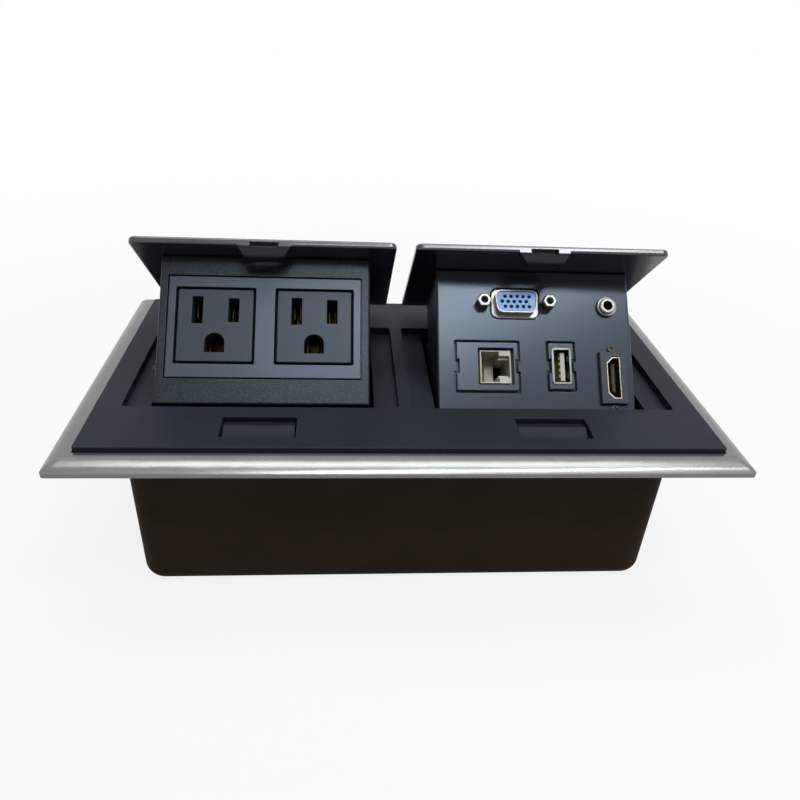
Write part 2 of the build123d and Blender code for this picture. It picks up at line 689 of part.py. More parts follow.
def make_latch_button(side):
    ridge = NOTCH_REAR - RIDGE_BACKSET
    middle = (ridge + NOTCH_FRONT) / 2
    scoop = (RIDGE_HEIGHT + SCOOP_HEIGHT) / 2 - SCOOP_SAG
    with BuildPart() as button:
        with BuildSketch(Plane.YZ.offset(side * MODULE_X - BUTTON_HALF)):
            with BuildLine():
                Polyline((NOTCH_FRONT, SCOOP_HEIGHT), (BUTTON_FRONT, SCOOP_HEIGHT),
                         (BUTTON_FRONT, BUTTON_BOTTOM), (BUTTON_REAR, BUTTON_BOTTOM),
                         (BUTTON_REAR, BUTTON_REAR_HEIGHT), (ridge, RIDGE_HEIGHT))
                ThreePointArc((ridge, RIDGE_HEIGHT), (middle, scoop), (NOTCH_FRONT, SCOOP_HEIGHT))
            make_face()
        extrude(amount=2 * BUTTON_HALF)
        ridge_edge = button.edges().filter_by(Axis.X).group_by(Axis.Z)[-1]
        fillet(ridge_edge, RIDGE_ROUND)
        # Tongue with a sloped nose that the closing lid pushes back
        with BuildSketch(Plane.YZ.offset(side * MODULE_X - TONGUE_WIDTH / 2)):
            with BuildLine():
                Polyline((BUTTON_REAR - TONGUE_NOSE, TONGUE_BOTTOM), (TONGUE_TIP, TONGUE_BOTTOM),
                         (TONGUE_TIP, TONGUE_BOTTOM + TONGUE_BLUNT),
                         (TONGUE_TIP - TONGUE_NOSE, BUTTON_REAR_HEIGHT),
                         (BUTTON_REAR - TONGUE_NOSE, BUTTON_REAR_HEIGHT), close=True)
            make_face()
        extrude(amount=TONGUE_WIDTH)
    finish(button, f"{SIDE_NAME[side]}_latch_button")


def make_latch_spring(side):
    tip = BUTTON_FRONT - LEAF_SEAT_GAP
    foot = PANEL_FRONT + PANEL_WALL + LEAF_SEAT_GAP
    x = side * MODULE_X
    with BuildPart() as leaf:
        with BuildSketch(Plane.XY.offset(BUTTON_BOTTOM + LEAF_RISE)):
            with BuildLine():
                outer = ThreePointArc((x - LEAF_HALF_SPAN, foot + LEAF_THICK), (x, tip),
                                      (x + LEAF_HALF_SPAN, foot + LEAF_THICK))
                inner = ThreePointArc((x - LEAF_HALF_SPAN, foot), (x, tip - LEAF_THICK),
                                      (x + LEAF_HALF_SPAN, foot))
                Line(outer @ 0, inner @ 0)
                Line(outer @ 1, inner @ 1)
            make_face()
        extrude(amount=LEAF_HEIGHT)
    finish(leaf, f"{SIDE_NAME[side]}_latch_spring")


# Lids


def make_lid(side):
    half_top, half_foot, lip_foot = LIP_TOP_WIDTH / 2, LIP_BOTTOM_WIDTH / 2, LID_UNDER - LIP_DROP
    with BuildPart() as lid:
        with BuildSketch(level(side, LID_UNDER)):
            with Locations((0, (LID_FRONT + LID_REAR) / 2)):
                RectangleRounded(LID_LENGTH, LID_WIDTH, LID_CORNER)
        extrude(amount=LID_THICK)
        # The front and the two ends are rounded over
        up = level(side, 0).z_dir
        for face_axis in (up, up * -1):
            rim = lid.faces().sort_by(Axis((0, 0, 0), face_axis))[-1].edges()
            rear = rim.filter_by(Axis.X).sort_by(Axis((0, 0, 0), level(side, 0).y_dir))[-1]
            fillet(rim - [rear], LID_NOSE)
        # Rear end swings clear of the panel's edge
        with BuildSketch(flank(side, -LID_LENGTH / 2)):
            with Locations((PIVOT_Y, PIVOT_Z)):
                Circle(LID_REAR_RADIUS)
        extrude(amount=LID_LENGTH, mode=Mode.SUBTRACT)
        # Catch lip under the middle of the front edge
        with BuildSketch(facing(side, LID_FRONT + LIP_THICK)):
            with BuildLine():
                Polyline((-half_top, LID_UNDER + LID_NOSE), (-half_top, LID_UNDER), (-half_foot, lip_foot),
                         (half_foot, lip_foot), (half_top, LID_UNDER), (half_top, LID_UNDER + LID_NOSE),
                         close=True)
            make_face()
        extrude(amount=LIP_THICK)
        lip_bottom = lid.faces().sort_by(Axis((0, 0, 0), up))[0]
        fillet(lip_bottom.edges().sort_by(outward(side))[-1], LIP_ROUND)
        with BuildSketch(facing(side, LID_FRONT + LIP_THICK)):
            with Locations((0, PANEL_TOP - CATCH_DEPTH_BELOW_TOP - CATCH_HEIGHT / 2)):
                Rectangle(CATCH_WIDTH, CATCH_HEIGHT)
        extrude(amount=LIP_THICK, mode=Mode.SUBTRACT)
        # Blind holes for the case screws
        with BuildSketch(level(side, LID_UNDER)):
            with Locations(*lid_screw_places(side)):
                Circle(SCREW_RADIUS)
        extrude(amount=LID_THICK - LID_SCREW_SKIN, mode=Mode.SUBTRACT)
    finish(lid, f"{SIDE_NAME[side]}_lid")


# Module cases


def lid_screw_places(side):
    across = CASE_HALF - BOSS_INSET
    front = FACE_Y[side] + PLATE_THICK + BOSS_PLATE_GAP
    rear = CASE_BACK - BOSS_INSET
    return [(hand * across, y) for hand in SIDES for y in (front, rear)]


def make_case(side):
    front = FACE_Y[side] + PLATE_THICK
    bottom = FACE_BOTTOM[side]
    inner_half = CASE_HALF - CASE_WALL
    with BuildPart() as case:
        # Tub, open at front and top, with a skirt that is concentric with the pin
        for half, inset, mode in ((CASE_HALF, 0, Mode.ADD), (inner_half, CASE_WALL, Mode.SUBTRACT)):
            skirt = hypot(front - PIVOT_Y, bottom - PIVOT_Z) - inset
            front_edge = front - inset
            top_edge = LID_UNDER + inset
            start = 180 + degrees(acos((PIVOT_Y - front_edge) / skirt))
            with BuildSketch(flank(side, -half)):
                with BuildLine():
                    arc = CenterArc((PIVOT_Y, PIVOT_Z), skirt, start, SKIRT_SPAN[side])
                    Polyline(arc @ 1, (CASE_BACK - inset, LID_UNDER - CASE_BACK_DROP + inset),
                             (CASE_BACK - inset, top_edge), (front_edge, top_edge), arc @ 0)
                make_face()
            extrude(amount=2 * half, mode=mode)

        # Opening in the back for the leads
        with BuildSketch(facing(side, CASE_BACK)):
            with Locations((0, LID_UNDER - CASE_BACK_DROP + LEAD_HOLE_RISE)):
                SlotOverall(LEAD_HOLE_LENGTH, LEAD_HOLE_HEIGHT)
        extrude(amount=CASE_WALL, mode=Mode.SUBTRACT)

        # Arms that reach back under the panel's rear strip to the hinge pin
        foot = (CASE_BACK - ARM_FOOT_INSET, LID_UNDER - ARM_FOOT_DROP)
        reach = hypot(foot[0] - PIVOT_Y, foot[1] - PIVOT_Z)
        slope = degrees(atan2(foot[1] - PIVOT_Z, foot[0] - PIVOT_Y))
        middle = ((foot[0] + PIVOT_Y) / 2, (foot[1] + PIVOT_Z) / 2)
        for start in (-CASE_HALF, inner_half):
            with BuildSketch(flank(side, start)):
                with Locations(Location((*middle, 0), (0, 0, slope))):
                    Rectangle(reach, ARM_WIDTH)
                with Locations((PIVOT_Y, PIVOT_Z)):
                    Circle(HUB_RADIUS)
                    Circle(PIN_RADIUS + PIN_RUNNING_GAP, mode=Mode.SUBTRACT)
            extrude(amount=CASE_WALL)
        with BuildSketch(flank(side, -CASE_HALF)):
            with Locations((PIVOT_Y, PIVOT_Z)):
                Circle(PIN_RADIUS + PIN_RUNNING_GAP)
        extrude(amount=CASE_WIDTH, mode=Mode.SUBTRACT)

        # Screw bosses in the four corners under the lid
        with BuildSketch(level(side, LID_UNDER)):
            with Locations(*lid_screw_places(side)):
                Circle(BOSS_RADIUS)
                Circle(SCREW_RADIUS + SCREW_HOLE_GAP, mode=Mode.SUBTRACT)
            rib_start = CASE_HALF - BOSS_INSET + (SCREW_RADIUS + BOSS_RADIUS) / 2
            rib_middle = (rib_start + inner_half) / 2
            with Locations(*[(copysign(rib_middle, x), y) for x, y in lid_screw_places(side)]):
                Rectangle(inner_half - rib_start, BOSS_RIB)
        extrude(amount=-BOSS_HEIGHT)
    finish(case, f"{SIDE_NAME[side]}_case")


def make_lid_screws(side):
    bottom = LID_UNDER - BOSS_HEIGHT
    with BuildPart() as screws:
        with BuildSketch(level(side, bottom - SCREW_HEAD_HEIGHT)):
            with Locations(*lid_screw_places(side)):
                Circle(SCREW_HEAD_RADIUS)
        extrude(amount=SCREW_HEAD_HEIGHT)
        with BuildSketch(level(side, bottom - SCREW_HEAD_HEIGHT)):
            with Locations(*lid_screw_places(side)):
                Circle(SCREW_RADIUS - SCREW_SHANK_GAP)
        extrude(amount=SCREW_HEAD_HEIGHT + BOSS_HEIGHT + LID_THICK - LID_SCREW_SKIN - SCREW_TIP_GAP)
        with BuildSketch(level(side, bottom - SCREW_HEAD_HEIGHT)):
            with Locations(*lid_screw_places(side)):
                cross_drive(DRIVE_LENGTH, DRIVE_WIDTH)
        extrude(amount=DRIVE_DEPTH, mode=Mode.SUBTRACT)
    finish(screws, f"{SIDE_NAME[side]}_lid_screws")


# Outlet face


def make_socket_plate():
    with BuildPart() as plate:
        with BuildSketch(deep(LEFT, 0)):
            with Locations((0, drop(FACE_HEIGHT[LEFT] / 2))):
                Rectangle(CASE_WIDTH, FACE_HEIGHT[LEFT])
        extrude(amount=-PLATE_THICK)
        fillet(plate.faces().sort_by(outward(LEFT))[-1].edges(), PLATE_ROUND)
        with BuildSketch(deep(LEFT, 0)):
            with Locations((0, drop(STRIP_DROP))):
                Rectangle(STRIP_LENGTH, STRIP_HEIGHT)
        extrude(amount=-PLATE_THICK, mode=Mode.SUBTRACT)
    finish(plate, "socket_plate")


def make_outlet_strip():
    length = STRIP_LENGTH - 2 * STRIP_GROOVE
    height = STRIP_HEIGHT - 2 * STRIP_GROOVE
    with BuildPart() as strip:
        with BuildSketch(deep(LEFT, 0)):
            with Locations((0, drop(STRIP_DROP))):
                Rectangle(length, height)
        extrude(amount=-PLATE_THICK)
        fillet(strip.faces().sort_by(outward(LEFT))[-1].edges(), SOFT_EDGE)
        with BuildSketch(deep(LEFT, PLATE_THICK)):
            with Locations((0, drop(STRIP_DROP))):
                Rectangle(2 * (CASE_HALF - CASE_WALL - STRIP_GROOVE), height + 2 * STRIP_FLANGE_REACH)
        extrude(amount=-STRIP_FLANGE)
        with BuildSketch(deep(LEFT, 0)):
            with Locations(*[(hand * OUTLET_X, drop(OUTLET_DROP)) for hand in SIDES]):
                RectangleRounded(OUTLET_LENGTH + 2 * OUTLET_GROOVE, OUTLET_HEIGHT + 2 * OUTLET_GROOVE,
                                 OUTLET_CORNER)
        extrude(amount=-PLATE_THICK - STRIP_FLANGE, mode=Mode.SUBTRACT)
    finish(strip, "outlet_strip")


def blade_places(x):
    """Centres of the two blade slots, neutral first."""
    return (x - BLADE_SPACING / 2, drop(BLADE_DROP)), (x + BLADE_SPACING / 2, drop(BLADE_DROP))


def make_outlet_face(hand):
    x = hand * OUTLET_X
    neutral, hot = blade_places(x)
    seat = PLATE_THICK + STRIP_FLANGE
    with BuildPart() as face:
        with BuildSketch(deep(LEFT, 0)):
            with Locations((x, drop(OUTLET_DROP))):
                RectangleRounded(OUTLET_LENGTH, OUTLET_HEIGHT, OUTLET_CORNER)
        extrude(amount=-OUTLET_DEPTH)
        fillet(face.faces().sort_by(outward(LEFT))[-1].edges(), SOFT_EDGE)
        with BuildSketch(deep(LEFT, seat)):
            with Locations((x, drop(OUTLET_DROP))):
                Rectangle(OUTLET_LENGTH + 2 * OUTLET_FLANGE_REACH, OUTLET_HEIGHT + 2 * OUTLET_FLANGE_REACH)
        extrude(amount=-OUTLET_FLANGE)
        # Slots: the neutral one is taller, and the ground hole has a round top
        with BuildSketch(deep(LEFT, 0)):
            with Locations(neutral):
                Rectangle(BLADE_SLOT_WIDTH, NEUTRAL_SLOT_HEIGHT)
            with Locations(hot):
                Rectangle(BLADE_SLOT_WIDTH, HOT_SLOT_HEIGHT)
            with Locations((x, drop(GROUND_DROP) + (GROUND_HEIGHT - GROUND_WIDTH) / 2)):
                Circle(GROUND_WIDTH / 2)
            with Locations((x, drop(GROUND_DROP) - GROUND_HEIGHT / 4)):
                Rectangle(GROUND_WIDTH, GROUND_HEIGHT / 2)
        extrude(amount=-OUTLET_DEPTH, mode=Mode.SUBTRACT)
        with BuildSketch(deep(LEFT, POCKET_DEPTH)):
            with Locations(neutral, hot):
                Rectangle(BLADE_POCKET_WIDTH, BLADE_POCKET_HEIGHT)
            with Locations((x, drop(GROUND_DROP))):
                Rectangle(GROUND_POCKET, GROUND_POCKET)
        extrude(amount=POCKET_DEPTH - OUTLET_DEPTH, mode=Mode.SUBTRACT)
    finish(face, f"outlet_face_{SIDE_NAME[hand]}")


# Each contact: offset from the outlet's middle, half gap at the pinch, drop of the
# clip's middle, drop of the bar's middle, ends of the bar, place of the terminal screw
CONTACTS = {
    "neutral": (-BLADE_OFFSET, BLADE_PINCH, BLADE_DROP - NEUTRAL_CLIP_RISE, BLADE_DROP - NEUTRAL_BAR_RISE,
                (-BAR_FAR_END, BAR_NEAR_END), -TERMINAL_X),
    "hot": (BLADE_OFFSET, BLADE_PINCH, BLADE_DROP + HOT_CLIP_FALL, BLADE_DROP + HOT_BAR_FALL,
            (-BAR_NEAR_END, BAR_FAR_END), TERMINAL_X),
    "ground": (0.0, GROUND_PINCH, GROUND_DROP, GROUND_DROP + GROUND_BAR_FALL,
               (-OUTLET_X - BAR_LAND, OUTLET_X + BAR_LAND), 0.0),
}


def make_contacts(name):
    offset_x, pinch, clip_drop, bar_drop, reach, screw_x = CONTACTS[name]
    mouth = FACE_Y[LEFT] + CONTACT_MOUTH
    base = FACE_Y[LEFT] + CONTACT_BASE
    wide = pinch + CONTACT_FLARE
    with BuildPart() as contacts:
        for hand in SIDES:
            x = hand * OUTLET_X + offset_x
            with BuildSketch(level(LEFT, drop(clip_drop) - CLIP_HEIGHT / 2)):
                with BuildLine():
                    Polyline((x - wide, mouth), (x - pinch, mouth + CLIP_PINCH),
                             (x - wide, mouth + CLIP_JAW), (x - wide, base), (x + wide, base),
                             (x + wide, mouth + CLIP_JAW), (x + pinch, mouth + CLIP_PINCH), (x + wide, mouth))
                trace(line_width=CONTACT_THICK)
            extrude(amount=CLIP_HEIGHT)
        with BuildSketch(deep(LEFT, CONTACT_BASE - CONTACT_THICK / 2)):
            with Locations(((reach[0] + reach[1]) / 2, drop(bar_drop))):
                Rectangle(reach[1] - reach[0], BAR_HEIGHT)
        extrude(amount=-CONTACT_THICK)
        with BuildSketch(deep(LEFT, 0)):
            with Locations((screw_x, drop(bar_drop))):
                Circle(TERMINAL_RADIUS)
        extrude(amount=-2 * CONTACT_BASE, mode=Mode.SUBTRACT)
    finish(contacts, f"{name}_contacts")


def terminal_places():
    return [(screw_x, drop(bar_drop)) for _, _, _, bar_drop, _, screw_x in CONTACTS.values()]


def make_outlet_back():
    front = PLATE_THICK + STRIP_FLANGE
    inner_back = CONTACT_BASE + CONTACT_THICK / 2
    length = 2 * OUTLET_X + OUTLET_LENGTH + 2 * OUTLET_FLANGE_REACH + 2 * BACK_RIM_GAP
    height = OUTLET_HEIGHT + 2 * OUTLET_FLANGE_REACH + 2 * BACK_RIM_GAP
    rib = 2 * OUTLET_X - OUTLET_LENGTH - 2 * OUTLET_FLANGE_REACH - 2 * BACK_RIM_GAP
    with BuildPart() as back:
        with BuildSketch(deep(LEFT, front)):
            with Locations((0, drop(OUTLET_DROP))):
                Rectangle(length + 2 * BACK_WALL, height + 2 * BACK_WALL)
        extrude(amount=front - inner_back - BACK_WALL)
        with BuildSketch(deep(LEFT, front)):
            with Locations((0, drop(OUTLET_DROP))):
                Rectangle(length, height)
        extrude(amount=front - inner_back, mode=Mode.SUBTRACT)
        # Rib between the two outlets
        with BuildSketch(deep(LEFT, front)):
            with Locations((0, drop(OUTLET_DROP))):
                Rectangle(rib, height + BACK_WALL)
        extrude(amount=front - inner_back + 2 * CONTACT_THICK + BACK_RIM_GAP)
        with BuildSketch(deep(LEFT, 0)):
            with Locations(*terminal_places()):
                Circle(TERMINAL_RADIUS)
        extrude(amount=-2 * inner_back, mode=Mode.SUBTRACT)
    finish(back, "outlet_back")


def make_terminal_screws():
    under_head = CONTACT_BASE + CONTACT_THICK / 2 + BACK_WALL
    with BuildPart() as screws:
        with BuildSketch(deep(LEFT, under_head)):
            with Locations(*terminal_places()):
                Circle(TERMINAL_HEAD)
        extrude(amount=-SCREW_HEAD_HEIGHT)
        with BuildSketch(deep(LEFT, CONTACT_BASE - CONTACT_THICK)):
            with Locations(*terminal_places()):
                Circle(TERMINAL_RADIUS - TERMINAL_GAP)
        extrude(amount=CONTACT_BASE - CONTACT_THICK - under_head)
        with BuildSketch(deep(LEFT, under_head + SCREW_HEAD_HEIGHT)):
            with Locations(*terminal_places()):
                Rectangle(2 * TERMINAL_HEAD, DRIVE_WIDTH)
        extrude(amount=DRIVE_DEPTH, mode=Mode.SUBTRACT)
    finish(screws, "terminal_screws")


# Data face


def place(spot):
    """Turns a spot given by its drop into coordinates on the face."""
    return spot[0], drop(spot[1])


def bezel_notches(spot, size, depth, height):
    """Centres and size of the two notches in the sides of a bezel."""
    x, y = place(spot)
    reach = size[0] / 2 - depth / 2
    return [(x - reach, y), (x + reach, y)], (depth, height)


def make_data_plate():
    with BuildPart() as plate:
        with BuildSketch(deep(RIGHT, 0)):
            with Locations((0, drop(FACE_HEIGHT[RIGHT] / 2))):
                Rectangle(CASE_WIDTH, FACE_HEIGHT[RIGHT])
        extrude(amount=-PLATE_THICK)
        fillet(plate.faces().sort_by(outward(RIGHT))[-1].edges(), PLATE_ROUND)
        with BuildSketch(deep(RIGHT, 0)):
            with Locations(place(VIDEO_PLACE)):
                RectangleRounded(VIDEO_COLLAR_LENGTH + 2 * VIDEO_COLLAR_GAP,
                                 VIDEO_COLLAR_HEIGHT + 2 * VIDEO_COLLAR_GAP,
                                 VIDEO_COLLAR_CORNER + VIDEO_COLLAR_GAP)
            with Locations(*post_places()):
                Circle(POST_BORE + POST_HOLE_GAP)
            with Locations(place(AUDIO_PLACE)):
                Circle(AUDIO_SLEEVE + FIT_GAP)
            for spot, size in ((NETWORK_PLACE, NETWORK_BEZEL), (USB_PLACE, USB_BEZEL)):
                hole = (size[0] + 2 * BEZEL_GROOVE, size[1] + 2 * BEZEL_GROOVE)
                with Locations(place(spot)):
                    RectangleRounded(*hole, BEZEL_CORNER)
                tab_height = BEZEL_NOTCH_HEIGHT - 2 * BEZEL_GROOVE
                tabs, tab = bezel_notches(spot, hole, BEZEL_NOTCH_DEPTH, tab_height)
                with Locations(*tabs):
                    Rectangle(*tab, mode=Mode.SUBTRACT)
            with Locations(place(MEDIA_PLACE)):
                Rectangle(MEDIA_BLOCK_LENGTH + 2 * BLOCK_GAP, MEDIA_BLOCK_HEIGHT + 2 * BLOCK_GAP)
            with Locations(*media_screw_places()):
                Circle(MEDIA_SCREW_HOLE)
        extrude(amount=-PLATE_THICK, mode=Mode.SUBTRACT)
    finish(plate, "data_plate")


def post_places():
    x, y = place(VIDEO_PLACE)
    return [(x + hand * POST_SPACING / 2, y) for hand in SIDES]


def shell_corners(spot, width, height):
    """Corners of the video connector's outline, which narrows downwards."""
    x, y = place(spot)
    shrink = height * tan(radians(VIDEO_SLOPE))
    top, bottom = width / 2, width / 2 - shrink
    return [(x - top, y + height / 2), (x - bottom, y - height / 2),
            (x + bottom, y - height / 2), (x + top, y + height / 2)]


def make_video_shell():
    seat = PLATE_THICK + VIDEO_FLANGE_THICK
    with BuildPart() as shell:
        with BuildSketch(deep(RIGHT, PLATE_THICK)):
            with Locations(place(VIDEO_PLACE)):
                RectangleRounded(VIDEO_FLANGE_LENGTH, VIDEO_FLANGE_HEIGHT, VIDEO_FLANGE_CORNER)
            with Locations(*post_places()):
                Circle(POST_BORE + FIT_GAP, mode=Mode.SUBTRACT)
        extrude(amount=-VIDEO_FLANGE_THICK)
        with BuildSketch(deep(RIGHT, 0)):
            with Locations(place(VIDEO_PLACE)):
                RectangleRounded(VIDEO_COLLAR_LENGTH, VIDEO_COLLAR_HEIGHT, VIDEO_COLLAR_CORNER)
        extrude(amount=-PLATE_THICK)
        fillet(shell.faces().sort_by(outward(RIGHT))[-1].edges(), VIDEO_COLLAR_ROUND)
        with BuildSketch(deep(RIGHT, 0)) as outline:
            Polygon(*shell_corners(VIDEO_PLACE, *VIDEO_SHELL), align=None)
            fillet(outline.vertices(), VIDEO_CORNER)
        extrude(amount=VIDEO_PROUD)
        with BuildSketch(deep(RIGHT, -VIDEO_PROUD)) as bore:
            Polygon(*shell_corners(VIDEO_PLACE, *VIDEO_BORE), align=None)
            fillet(bore.vertices(), VIDEO_CORNER - VIDEO_WALL)
        extrude(amount=-VIDEO_PROUD - seat, mode=Mode.SUBTRACT)
    finish(shell, "video_shell")


def make_video_insert():
    outer = [size - 2 * FIT_GAP for size in VIDEO_BORE]
    front = VIDEO_INSERT_SINK - VIDEO_PROUD
    x, y = place(VIDEO_PLACE)
    # Three rows of holes, with the middle row half a pitch to the left
    start = VIDEO_ROW_SHIFT - (VIDEO_COLUMNS - 1) / 2 * VIDEO_PIN_PITCH
    pins = [(x + start + (column - (row == 0) / 2) * VIDEO_PIN_PITCH, y + row * VIDEO_ROW_PITCH)
            for row in (1, 0, -1) for column in range(VIDEO_COLUMNS)]
    with BuildPart() as insert:
        with BuildSketch(deep(RIGHT, front)) as outline:
            Polygon(*shell_corners(VIDEO_PLACE, *outer), align=None)
            fillet(outline.vertices(), VIDEO_CORNER - VIDEO_WALL - FIT_GAP)
        extrude(amount=front - PLATE_THICK - VIDEO_FLANGE_THICK)
        with BuildSketch(deep(RIGHT, front)):
            with Locations(*pins):
                Circle(VIDEO_PIN_RADIUS)
        extrude(amount=-VIDEO_PIN_DEPTH, mode=Mode.SUBTRACT)
    finish(insert, "video_insert")


def make_video_posts():
    with BuildPart() as posts:
        with BuildSketch(deep(RIGHT, 0)):
            with Locations(*post_places()):
                RegularPolygon(POST_ACROSS / 2, 6, major_radius=False)
        extrude(amount=POST_PROUD)
        for end in posts.faces().sort_by(outward(RIGHT))[-2:]:
            chamfer(end.edges(), SOFT_EDGE)
        with BuildSketch(deep(RIGHT, 0)):
            with Locations(*post_places()):
                Circle(POST_BORE)
        extrude(amount=-PLATE_THICK - VIDEO_FLANGE_THICK - POST_TAIL)
        with BuildSketch(deep(RIGHT, -POST_PROUD)):
            with Locations(*post_places()):
                Circle(POST_BORE)
        extrude(amount=-POST_BORE_DEPTH, mode=Mode.SUBTRACT)
    finish(posts, "video_posts")


def make_video_body():
    start = PLATE_THICK + VIDEO_FLANGE_THICK
    with BuildPart() as body:
        with BuildSketch(deep(RIGHT, start)):
            with Locations(place(VIDEO_PLACE)):
                Rectangle(VIDEO_BODY_LENGTH, VIDEO_BODY_HEIGHT)
        extrude(amount=-VIDEO_BODY_DEPTH)
        # Tails for the leads
        with BuildSketch(deep(RIGHT, start + VIDEO_BODY_DEPTH)):
            with Locations(place(VIDEO_PLACE)):
                with GridLocations(VIDEO_PIN_PITCH, VIDEO_TAIL_PITCH, VIDEO_TAILS, 2):
                    Circle(VIDEO_TAIL_RADIUS)
        extrude(amount=-VIDEO_TAIL_DEPTH)
    finish(body, "video_body")


def make_audio_bush():
    with BuildPart() as bush:
        with BuildSketch(deep(RIGHT, 0)):
            with Locations(place(AUDIO_PLACE)):
                Circle(AUDIO_NUT)
        extrude(amount=AUDIO_NUT_THICK)
        chamfer(bush.faces().sort_by(outward(RIGHT))[-1].edges(), SOFT_EDGE)
        with BuildSketch(deep(RIGHT, PLATE_THICK)):
            with Locations(place(AUDIO_PLACE)):
                Circle(AUDIO_SLEEVE)
        extrude(amount=PLATE_THICK + AUDIO_PROUD)
        chamfer(bush.faces().sort_by(outward(RIGHT))[-1].edges(), SOFT_EDGE)
        with BuildSketch(deep(RIGHT, PLATE_THICK)):
            with Locations(place(AUDIO_PLACE)):
                Circle(AUDIO_BORE)
        extrude(amount=PLATE_THICK + AUDIO_PROUD, mode=Mode.SUBTRACT)
    finish(bush, "audio_bush")


def make_audio_body():
    with BuildPart() as body:
        with BuildSketch(deep(RIGHT, PLATE_THICK)):
            with Locations(place(AUDIO_PLACE)):
                Rectangle(AUDIO_BODY_LENGTH, AUDIO_BODY_HEIGHT)
        extrude(amount=-AUDIO_BODY_DEPTH)
        with BuildSketch(deep(RIGHT, PLATE_THICK)):
            with Locations(place(AUDIO_PLACE)):
                Circle(AUDIO_BORE)
        extrude(amount=-AUDIO_BORE_DEPTH, mode=Mode.SUBTRACT)
    finish(body, "audio_body")


def make_bezel(name, spot, size, port_spot, port):
    """Bezel with notched sides, held by a flange behind the plate."""
    with BuildPart() as bezel:
        with BuildSketch(deep(RIGHT, -BEZEL_PROUD)):
            with Locations(place(spot)):
                Rectangle(*size)
            notches, notch = bezel_notches(spot, size, BEZEL_NOTCH_DEPTH, BEZEL_NOTCH_HEIGHT)
            with Locations(*notches):
                Rectangle(*notch, mode=Mode.SUBTRACT)
        extrude(amount=-BEZEL_PROUD - PLATE_THICK)
        fillet(bezel.faces().sort_by(outward(RIGHT))[-1].edges(), SOFT_EDGE)
        with BuildSketch(deep(RIGHT, PLATE_THICK)):
            with Locations(place(spot)):
                Rectangle(size[0] + 2 * BEZEL_FLANGE_REACH, size[1] + 2 * BEZEL_FLANGE_REACH)
        extrude(amount=-BEZEL_FLANGE)
        with BuildSketch(deep(RIGHT, -BEZEL_PROUD)):
            with Locations(place(port_spot)):
                Rectangle(port[0] + 2 * FIT_GAP, port[1] + 2 * FIT_GAP)
        extrude(amount=-BEZEL_PROUD - PLATE_THICK - BEZEL_FLANGE, mode=Mode.SUBTRACT)
    finish(bezel, name)


def make_network_jack():
    x, y = place(NETWORK_PORT_PLACE)
    seat = PLATE_THICK + BEZEL_FLANGE + FIT_GAP
    plug_x = x - NETWORK_NOSE_LENGTH / 2 + NETWORK_WALL + NETWORK_PLUG_THICK / 2
    latch_x = plug_x + (NETWORK_PLUG_THICK + NETWORK_LATCH_THICK) / 2
    with BuildPart() as jack:
        # Nose in the bezel's window, and a wider body that seats behind the bezel
        with BuildSketch(deep(RIGHT, NETWORK_NOSE_SINK)):
            with Locations((x, y)):
                Rectangle(NETWORK_NOSE_LENGTH, NETWORK_NOSE_HEIGHT)
        extrude(amount=NETWORK_NOSE_SINK - seat)
        with BuildSketch(deep(RIGHT, seat)):
            with Locations((x, y)):
                Rectangle(NETWORK_BODY_LENGTH, NETWORK_BODY_HEIGHT)
        extrude(amount=seat - NETWORK_DEPTH)
        # Cavity for the plug, which lies on its side, and the channel for its latch
        with BuildSketch(deep(RIGHT, 0)):
            with Locations((plug_x, y)):
                Rectangle(NETWORK_PLUG_THICK, NETWORK_PLUG_WIDTH)
        extrude(amount=-NETWORK_CAVITY_DEPTH, mode=Mode.SUBTRACT)
        with BuildSketch(deep(RIGHT, 0)):
            with Locations((latch_x, y)):
                Rectangle(NETWORK_LATCH_THICK, NETWORK_LATCH_HEIGHT)
        extrude(amount=-NETWORK_DEPTH, mode=Mode.SUBTRACT)
        with BuildSketch(deep(RIGHT, 0)):
            with Locations((latch_x, y)):
                Rectangle(NETWORK_LATCH_THICK, NETWORK_LEAD_IN_HEIGHT)
        extrude(amount=-NETWORK_LEAD_IN_DEPTH, mode=Mode.SUBTRACT)
    finish(jack, "network_jack")


def make_network_contacts():
    x, y = place(NETWORK_PORT_PLACE)
    wall = x - NETWORK_NOSE_LENGTH / 2 + NETWORK_WALL
    front = FACE_Y[RIGHT] + NETWORK_NOSE_SINK
    foot, start = NETWORK_WIRE_FOOT
    bend, depth = NETWORK_WIRE_BEND
    back = FACE_Y[RIGHT] + NETWORK_CAVITY_DEPTH - FIT_GAP
    with BuildPart() as contacts:
        for number in range(NETWORK_LEADS):
            height = y + (number - (NETWORK_LEADS - 1) / 2) * NETWORK_PITCH
            with BuildSketch(level(RIGHT, height - NETWORK_WIRE / 2)):
                with BuildLine():
                    Polyline((wall + foot, front + start), (wall + foot, front + start + 1),
                             (wall + bend, front + depth), (wall + NETWORK_WIRE_TIP, back))
                trace(line_width=NETWORK_WIRE)
            extrude(amount=NETWORK_WIRE)
    finish(contacts, "network_contacts")


def make_usb_shell():
    with BuildPart() as shell:
        with BuildSketch(deep(RIGHT, -BEZEL_PROUD)):
            with Locations(place(USB_PLACE)):
                RectangleRounded(*[size + 2 * USB_LIP for size in USB_SHELL], USB_LIP_CORNER)
        extrude(amount=USB_WALL)
        with BuildSketch(deep(RIGHT, -BEZEL_PROUD)):
            with Locations(place(USB_PLACE)):
                Rectangle(*USB_SHELL)
        extrude(amount=-BEZEL_PROUD - USB_DEPTH)
        with BuildSketch(deep(RIGHT, -BEZEL_PROUD - USB_WALL)):
            with Locations(place(USB_PLACE)):
                Rectangle(*USB_BORE)
        extrude(amount=-BEZEL_PROUD - USB_WALL - USB_DEPTH, mode=Mode.SUBTRACT)
    finish(shell, "usb_shell")


